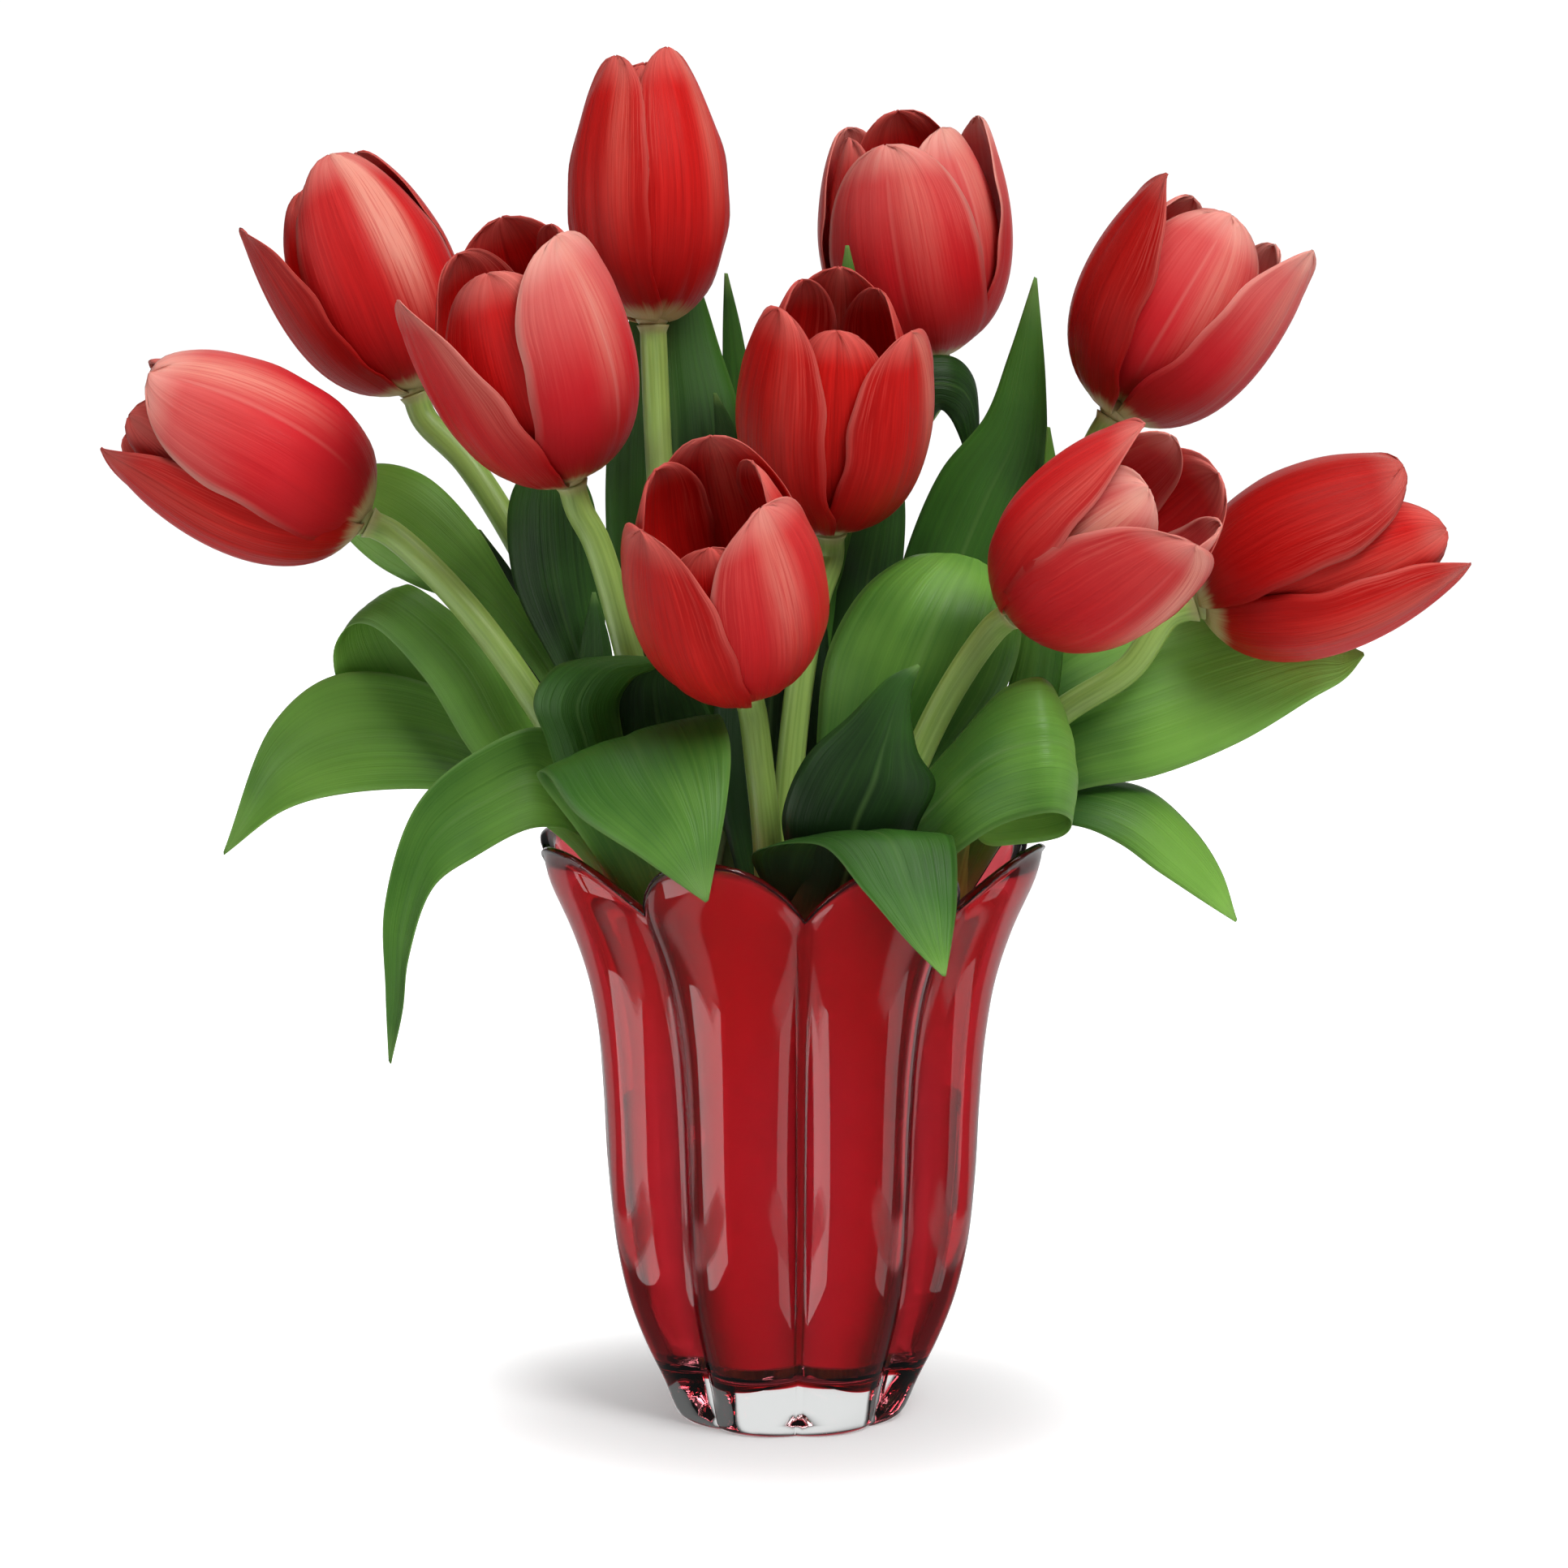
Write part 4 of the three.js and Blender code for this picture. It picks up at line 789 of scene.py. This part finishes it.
# For each petal: its blush with painted sheen, below 0 a painted shade of darker red, then its painted
# highlight streak's strength and place.
PETAL_BLUSH_AND_LIGHT = {
    "a": ((0.1, 0.3, 0.5), (0.14, 0.5, 0.4), (0.1, 0, 0), (0, 0, 0), (0.1, 0.5, 0), (0.05, 0.1, 0)),
    "b": ((0.5, 0.35, 0.3), (0.65, 0.4, -0.4), (0.4, 0, 0), (0.75, 0.6, 0.2), (0.1, 0, 0), (0.25, 0.1, 0)),
    "c": ((-0.3, 0, 0.75), (0.85, 0.6, -0.2), (0.4, 0, 0), (0.6, 0.6, 0.35), (0.6, 0.3, 0), (0.5, 0, 0)),
    "d": ((0.3, 2.0, 0.24), (-0.1, 0, 0.5), (0.1, 0, 0), (0.2, 0.3, 0), (0.05, 0.1, 0), (0.1, 0, 0)),
    "e": ((1, 0.7, 0), (0.4, 0.5, 0.8), (0, 0, 0), (0.2, 0.3, 0.6), (0.1, 0, 0), (-0.2, 0, 0)),
    "f": ((0.62, 1, 0.3), (0, 0.15, 0.4), (0.1, 0, 0), (0.1, 0.2, 0), (0.3, 0.2, 0), (0, 0, 0)),
    "g": ((0.1, 0.1, 0.5), (0.15, 0.7, 0.3), (0.05, 0.3, 0), (0.05, 0, 0.2), (0.05, 0, 0), (0.05, 0, 0)),
    "h": ((0.35, 0.6, -0.1), (0.15, 0.2, -0.3), (0.2, 0.4, 0), (0.1, 0, 0), (0.2, 0.3, 0), (0.05, 0, 0)),
    "i": ((0.3, 0.2, 0.6), (0.4, 1.1, 0.45), (0.3, 0, 0), (1.3, 1.7, 0.1), (0.5, 0.3, 0), (0.5, 0.2, 0)),
    "j": ((-0.3, 0.15, -0.5), (0, 0.3, -0.4), (0.1, 0, 0), (0.12, 0.2, 0), (0.1, 0, 0), (0.05, 0, 0)),
}


def petal_grid(petal, layer, phase):
    """The middle surface of a petal round its bloom's axis, with its fold, ripples, waves and nicked tip."""
    turn, length, half, belly, tip, point = petal
    root_radius, root_height, lift = layer
    v = PETAL_ALONG
    t = v[:, None]
    u = PETAL_ACROSS
    start = np.array((root_radius, root_height))
    low = np.array((1.16 * belly, 0.09 * length + lift))
    high = np.array((1.16 * belly + 0.06 * tip, 0.64 * length))
    end = np.array((tip, length))
    line = (1 - t) ** 3 * start + 3 * (1 - t) ** 2 * t * low + 3 * (1 - t) * t**2 * high + t**3 * end
    way = unit(np.gradient(line, axis=0))
    past = np.clip((v - PETAL_WIDEST) / (1 - PETAL_WIDEST), 0, 1)
    narrow = half * (1 - 0.5 * (1 - v / PETAL_WIDEST) ** 2)
    blunt = PETAL_TIP_WIDTH / 2 * (1 - 0.8 * past**12)
    rounded = np.maximum(half * np.maximum(1 - past**2.7, 0) ** point, blunt)
    width = np.where(v < PETAL_WIDEST, narrow, rounded)
    radius = line[:, 0]
    curve = np.where(v < PETAL_WIDEST, radius, np.maximum(radius, PETAL_LEAST_CURVE))
    bend = u * (np.minimum(width, PETAL_REACH * radius) / curve)[:, None]
    angle = math.radians(turn)
    outward = np.array([math.sin(angle), -math.cos(angle), 0])
    sideways = np.array([math.cos(angle), math.sin(angle), 0])
    normal = outward * way[:, 1:] - UP * way[:, :1]
    away = np.where(way[:, :1] < 0, normal, outward)
    grid = (outward * line[:, :1] + UP * line[:, 1:])[:, None]
    grid = grid + sideways * (curve[:, None] * np.sin(bend))[..., None]
    grid = grid + away[:, None] * (curve[:, None] * (np.cos(bend) - 1))[..., None]
    grid = grid + normal[:, None] * (PETAL_TUCK * u * (1 - t))[..., None]
    body = np.sin(math.pi * np.clip(t, 0, 1)) ** 0.7
    fold = -FOLD_DEPTH * np.exp(-((u / 0.085) ** 2)) * body
    ripples = sum(0.11 * np.sin(k * u + phase[n]) for n, k in enumerate((9, 14, 23))) * body
    turns = 2 * math.pi * t
    edge = EDGE_WAVE * np.abs(u) ** 3 * np.sin(1.4 * turns + phase[3] + 1.3 * np.sign(u)) * body
    edge = edge + FINE_EDGE_WAVE * np.abs(u) ** 5 * np.sin(4.3 * turns + phase[2] + 2.1 * np.sign(u)) * body
    near_tip = np.clip((t - 0.75) / 0.25, 0, 1) ** 2 * np.minimum(1, width / PETAL_TIP_WIDTH)[:, None]
    crumple = TIP_CRUMPLE * np.sin(7 * u + phase[4]) * near_tip
    notch = -NOTCH_DEPTH * np.exp(-(((u - 0.5 * math.sin(phase[0])) / 0.12) ** 2))
    nicks = (0.5 * np.sin(8 * u + phase[2]) + 0.35 * np.sin(19 * u + phase[1]) + notch) * near_tip
    grid = grid + normal[:, None] * (fold + ripples + edge + crumple)[..., None]
    return grid + (outward * way[:, :1] + UP * way[:, 1:])[:, None] * nicks[..., None]


def bloom_frame(key):
    """The bloom's base and its three directions: right, back and along its axis."""
    base, axis = np.array(BLOOMS[key][0], float), unit(np.array(BLOOMS[key][1], float))
    back = unit(np.array([0, 1, 0]) - axis * axis[1])
    return base, np.stack([np.cross(back, axis), back, axis])


def larger(a, b):
    return work_out("MAXIMUM", a, b)


petal_red = Finish("petal_red")
across = petal_red.carried("across")
along = petal_red.carried("along")
blush = petal_red.carried("blush")
from_middle = unsigned(across)
streak = lengthwise_cloud(petal_red, 11, 1.3, 4, 0.6)
hair = lengthwise_cloud(petal_red, 46, 3.2, 3, 0.6)
grain = scaled(hair, 0.45, times(streak, 0.55))
red = blend(fade(grain, 0.25, 0.75), (0.46, 0.006, 0.005), (0.76, 0.014, 0.011))
cloudy = fade(cloud(petal_red.place(), 34, 2), 0.25, 0.7, 0.65, 1)
red = blend(times(fade(blush, 0, 0.7), cloudy), red, (0.68, 0.022, 0.032))
# Painted shade: petals whose blush is below 0 darken towards a deep red, as if in shadow.
red = blend(fade(blush, -0.6, 0, 0.9, 0), red, (0.20, 0.002, 0.002))
# Painted shade: every petal darkens towards its lower part.
red = blend(fade(along, 0.12, 0.6, 0.6, 0), red, (0.28, 0.003, 0.004))
# Painted shade: each petal darkens towards its two edges.
red = blend(fade(from_middle, 0.55, 1, 0, 0.35), red, (0.34, 0.003, 0.004))
# Partly the petal's own flush and partly painted sheen: blushing petals go pale pink towards the tip.
flush_and_sheen = times(fade(blush, 0.15, 0.9), fade(along, 0.52, 0.96), fade(grain, 0.28, 0.68, 0.5, 1), 0.8)
red = blend(flush_and_sheen, red, (0.86, 0.25, 0.22))
# Painted highlight: a pale satin streak along the upper petal, at each petal's given place and strength.
from_highlight = unsigned(minus(across, petal_red.carried("streak_place")))
painted_highlight = times(
    fade(from_highlight, 0.02, 0.36, 1, 0),
    petal_red.carried("streak_strength"),
    fade(along, 0.3, 0.8),
    fade(hair, 0.3, 0.62, 0.35, 1),
    0.85,
)
red = blend(painted_highlight, red, (0.88, 0.33, 0.25))
# Painted sheen: fine pale lines towards the rims of the upper petal.
sheen_lines = times(fade(from_middle, 0.35, 0.95), fade(along, 0.4, 0.9), fade(hair, 0.48, 0.66, 0, 0.3))
red = blend(sheen_lines, red, (0.86, 0.20, 0.16))
pale_edge = times(fade(from_middle, 0.88, 1), fade(blush, 0, 0.8, 0.16, 0.75), fade(along, 0.3, 0.8))
pale_tip = times(fade(along, 0.86, 1), fade(blush, 0, 0.8, 0.22, 0.85))
pale_fold = times(fade(from_middle, 0, 0.045, 1, 0), fade(blush, 0.2, 0.9, 0, 0.35), fade(along, 0.2, 0.6))
pale = larger(larger(pale_edge, pale_tip), pale_fold)
red = blend(times(pale, fade(streak, 0.25, 0.65, 0.6, 1)), red, (0.92, 0.45, 0.37))
from_root = scaled(minus(streak, 0.5), 0.1, along)
red = blend(fade(from_root, 0.06, 0.155, 0.95, 0), red, (0.60, 0.50, 0.24))
petal_red.coat(
    Base_Color=red,
    Roughness=fade(hair, 0.3, 0.7, 0.34, 0.5),
    Specular_IOR_Level=0.16,
    Specular_Tint=(1, 0.6, 0.55, 1),
    Subsurface_Weight=0.12,
    Subsurface_Radius=(1, 0.15, 0.1),
    Subsurface_Scale=0.001,
    Sheen_Weight=0.02,
    Sheen_Roughness=0.35,
    Sheen_Tint=(1, 0.5, 0.5, 1),
)
petal_red.relief(grain, 0.0006, 0.55)

petal_thickness = PETAL_THICKNESS * (0.4 + 0.6 * (1 - PETAL_ACROSS**4)) * (1.1 - 0.35 * PETAL_ALONG[:, None])
petals_of = {}
for number, key in enumerate(BLOOMS):
    base, directions = bloom_frame(key)
    bloom_petals = []
    for n, petal in enumerate(BLOOMS[key][2] + BLOOMS[key][3]):
        layer = OUTER_PETAL if n < 3 else INNER_PETAL
        grid = petal_grid(petal, layer, draw.uniform(0, 6.28, 5))
        points, faces, values = blade(grid, petal_thickness, PETAL_ALONG, PETAL_ACROSS)
        values["blush"], values["streak_strength"], values["streak_place"] = PETAL_BLUSH_AND_LIGHT[key][n]
        values["lot"] = 11.3 * number + 1.9 * n
        bloom_petals.append((points @ directions + base, faces, values))
    petals_of[key] = joined(bloom_petals)

# Hearts: inside each bloom sit a swollen pale base, a yellow-green pistil with a three-lobed top, and six
# stamens with dark violet pollen sacs round it. All grow from the stem's end.
HEART_SIDES = 24
HEART_SIDE = np.array([0.9, 0.3, 0.1])
# radius and height of the base and the pistil
HEART_OUTLINE = (
    (0.1, -0.3), (3.7, -0.3), (4.3, 0.3), (4.9, 1.2), (5.1, 3), (4.6, 6.2), (3.8, 8.3), (3.0, 9.6),
    (2.7, 11), (2.8, 16), (2.5, 21), (2.6, 22.5),
)
# the pistil's lobes, the stamens' threads and their pollen sacs: how many, the first one's turn, the turn to
# the next, sides, how violet, and points along each: distance from the axis, height and radius
HEART_PARTS = (
    (3, 0.4, 2.1, 12, 0, ((0, 21.5, 1.7), (1.4, 22.8, 1.5), (2.7, 23.4, 1.25), (3.6, 22.6, 0.5))),
    (6, 0.2, math.pi / 3, 10, 0.15, ((3.2, 7.5, 0.8), (5, 10, 0.7), (6, 13, 0.6), (6.4, 15, 0.5))),
    (6, 0.2, math.pi / 3, 12, 1, (
        (6.3, 14, 0.6), (6.5, 15.5, 1.25), (6.9, 19, 1.35), (7.1, 22, 1.1), (7.1, 23.2, 0.35),
    )),
)

bloom_heart = Finish("bloom_heart")
part = bloom_heart.carried("part")
speck = cloud(bloom_heart.place(), 700, 3)
ridge = cloud(bloom_heart.place(), 160, 2)
fleshy = blend(fade(ridge, 0.35, 0.65), (0.36, 0.40, 0.15), (0.56, 0.53, 0.26))
violet = blend(fade(speck, 0.4, 0.65), (0.012, 0.008, 0.014), (0.05, 0.03, 0.035))
bloom_heart.coat(
    Base_Color=blend(part, fleshy, violet),
    Roughness=fade(part, 0, 1, 0.45, 0.85),
)
bloom_heart.relief(plus(speck, ridge), 0.0004, 0.5)

radii, heights = zip(*HEART_OUTLINE)
core = round_body([(0, 0, z) for z in heights], radii, HEART_SIDES, HEART_SIDE)
heart = [(*core, {"part": 0})]
for count, first_turn, step, sides, violet_share, line in HEART_PARTS:
    reach, heights, radii = zip(*line)
    for turn in first_turn + step * np.arange(count):
        places = [(r * math.cos(turn), r * math.sin(turn), z) for r, z in zip(reach, heights)]
        heart.append((*round_body(places, radii, sides, HEART_SIDE), {"part": violet_share}))
heart_points, faces, values = joined(heart)
for key in BLOOMS:
    base, directions = bloom_frame(key)
    points = heart_points @ directions + base
    add_to_arrangement("petals_" + key, *petals_of[key], petal_red, "petal", "bloom_" + key)
    add_to_arrangement("heart_" + key, points, faces, values, bloom_heart, "petal", "bloom_" + key)

# Studio: a plain white table top that fades into a white surround, under a wide overhead sun. A soft box high
# at the front lights the flowers. A box at each side is there only for the long highlights in the glass, and
# a panel in front only for the light that goes through it.
TABLE_REACH = 4
SKY_WHITE = 1.05
BACKDROP_EDGE = (0.80, 0.97)  # cosines of the angles from straight behind
BACKDROP_GLOW = (0.16, 1.05)
SUN_STRENGTH = 1.5
SUN_WIDTH = 50
SUN_AIM = (-0.03, 0.1, -1)
# place, aim, width, height, power, whether it lights surfaces and whether reflections show it
SOFT_BOXES = {
    "front_soft": ((0.5, -0.95, 1.2), (0, 0, 0.24), 0.55, 0.55, 12.5, True, True),
    "left_soft": ((-1.12, -0.5, 0), (0, 0, 0.1), 1.2, 1.3, 13, False, True),
    "right_soft": ((1.15, -0.32, 0), (0, 0, 0.1), 0.6, 1.3, 3, False, True),
    "glass_fill": ((0, -1.6, 0.3), (0, 0, 0.1), 1.8, 1.1, 36, False, False),
}

table_white = Finish("table_white")
ray = table_white.node("LightPath").outputs
across_table, along_table, _ = axes(table_white.place())
squared = scaled(across_table, across_table, times(along_table, along_table))
# The table glows for the camera so that it reads white. Near the vase the glow drops away, a painted shadow
# round the foot on top of the lamps' real shadow.
far_white = times(ray["Is Camera Ray"], fade(squared, 0.0015, 0.017, 0.30, 0.85))
# Painted light: seen through the glass, the table glows too and brightens the lower vase and the foot. Just
# under the foot it stays dim as painted shade.
under_glass = times(ray["Is Transmission Ray"], fade(squared, 0.0004, 0.0012, 0.1, 0.4))
beside = unsigned(across_table)
near_or_behind = larger(fade(beside, 0.21, 0.24, 1, 0), fade(along_table, 0.08, 0.14))
reflected = times(fade(beside, 0.13, 0.15), near_or_behind, fade(along_table, -0.22, -0.16))
table_white.coat(
    Base_Color=blend(cloud(table_white.place(), 6, 2), (0.78, 0.78, 0.78), (0.80, 0.80, 0.80)),
    Roughness=0.7,
    Specular_IOR_Level=0.2,
    Emission_Color=(1, 1, 1, 1),
    Emission_Strength=plus(far_white, under_glass),
)
left_out = times(ray["Is Glossy Ray"], minus(1, reflected))
clear_air = table_white.node("BsdfTransparent").outputs[0]
table_surface = node_fed("MixShader", {0: left_out, 1: table_white.shader.outputs[0], 2: clear_air})
feed(table_white.tree.nodes["Material Output"].inputs["Surface"], table_surface.outputs[0])

table_mesh = bpy.data.meshes.new("table_top")
table_corners = [(x * TABLE_REACH, y * TABLE_REACH, 0) for x, y in ((-1, -1), (1, -1), (1, 1), (-1, 1))]
table_mesh.from_pydata(table_corners, [], [(0, 1, 2, 3)])
table_mesh.materials.append(table_white.material)
table_top = bpy.data.objects.new("table_top", table_mesh)
bpy.context.scene.collection.objects.link(table_top)

surround = bpy.data.worlds.new("surround")
bpy.context.scene.world = surround
surround.use_nodes = True
sky = surround.node_tree
seen_sky = sky.nodes["Background"]
feed(seen_sky.inputs["Color"], (1, 1, 1, 1))
feed(seen_sky.inputs["Strength"], SKY_WHITE)
towards_back = axes(sky.nodes.new("ShaderNodeTexCoord").outputs["Generated"])[1]
backdrop = node_fed("Background", {"Strength": fade(towards_back, *BACKDROP_EDGE, *BACKDROP_GLOW)})
camera_ray = sky.nodes.new("ShaderNodeLightPath").outputs["Is Camera Ray"]
either_sky = node_fed("MixShader", {0: camera_ray, 1: backdrop.outputs[0], 2: seen_sky.outputs[0]})
feed(sky.nodes["World Output"].inputs["Surface"], either_sky.outputs[0])


def hang_lamp(name, kind, place, way):
    """A lamp hung at a place and turned to shine along a way: its settings and its object."""
    lamp = bpy.data.lights.new(name, kind)
    lamp_object = bpy.data.objects.new(name, lamp)
    lamp_object.location = place
    lamp_object.rotation_euler = Vector(way).to_track_quat("-Z", "Y").to_euler()
    bpy.context.scene.collection.objects.link(lamp_object)
    return lamp, lamp_object


sun, _ = hang_lamp("overhead", "SUN", (0, 0, 0), SUN_AIM)
sun.energy = SUN_STRENGTH
sun.angle = math.radians(SUN_WIDTH)
for name, (place, target, width, height, power, on_surfaces, in_reflections) in SOFT_BOXES.items():
    soft_box, box_object = hang_lamp(name, "AREA", place, Vector(target) - Vector(place))
    soft_box.shape = "RECTANGLE"
    soft_box.size = width
    soft_box.size_y = height
    soft_box.energy = power
    box_object.visible_diffuse = on_surfaces
    box_object.visible_glossy = in_reflections
    box_object.visible_camera = False

# Camera: a long lens level with the blooms, looking slightly down on the vase.
CAMERA_PLACE = (-0.00153, -1.1, 0.292)
CAMERA_AIM = (-0.00153, 0, 0.185)
camera = bpy.data.objects.new("camera", bpy.data.cameras.new("camera"))
camera.data.lens = 87.5
camera.data.sensor_width = 36
camera.location = CAMERA_PLACE
camera.rotation_euler = (Vector(CAMERA_AIM) - Vector(CAMERA_PLACE)).to_track_quat("-Z", "Y").to_euler()
bpy.context.scene.collection.objects.link(camera)
bpy.context.scene.camera = camera
bpy.context.scene.view_settings.view_transform = "Standard"
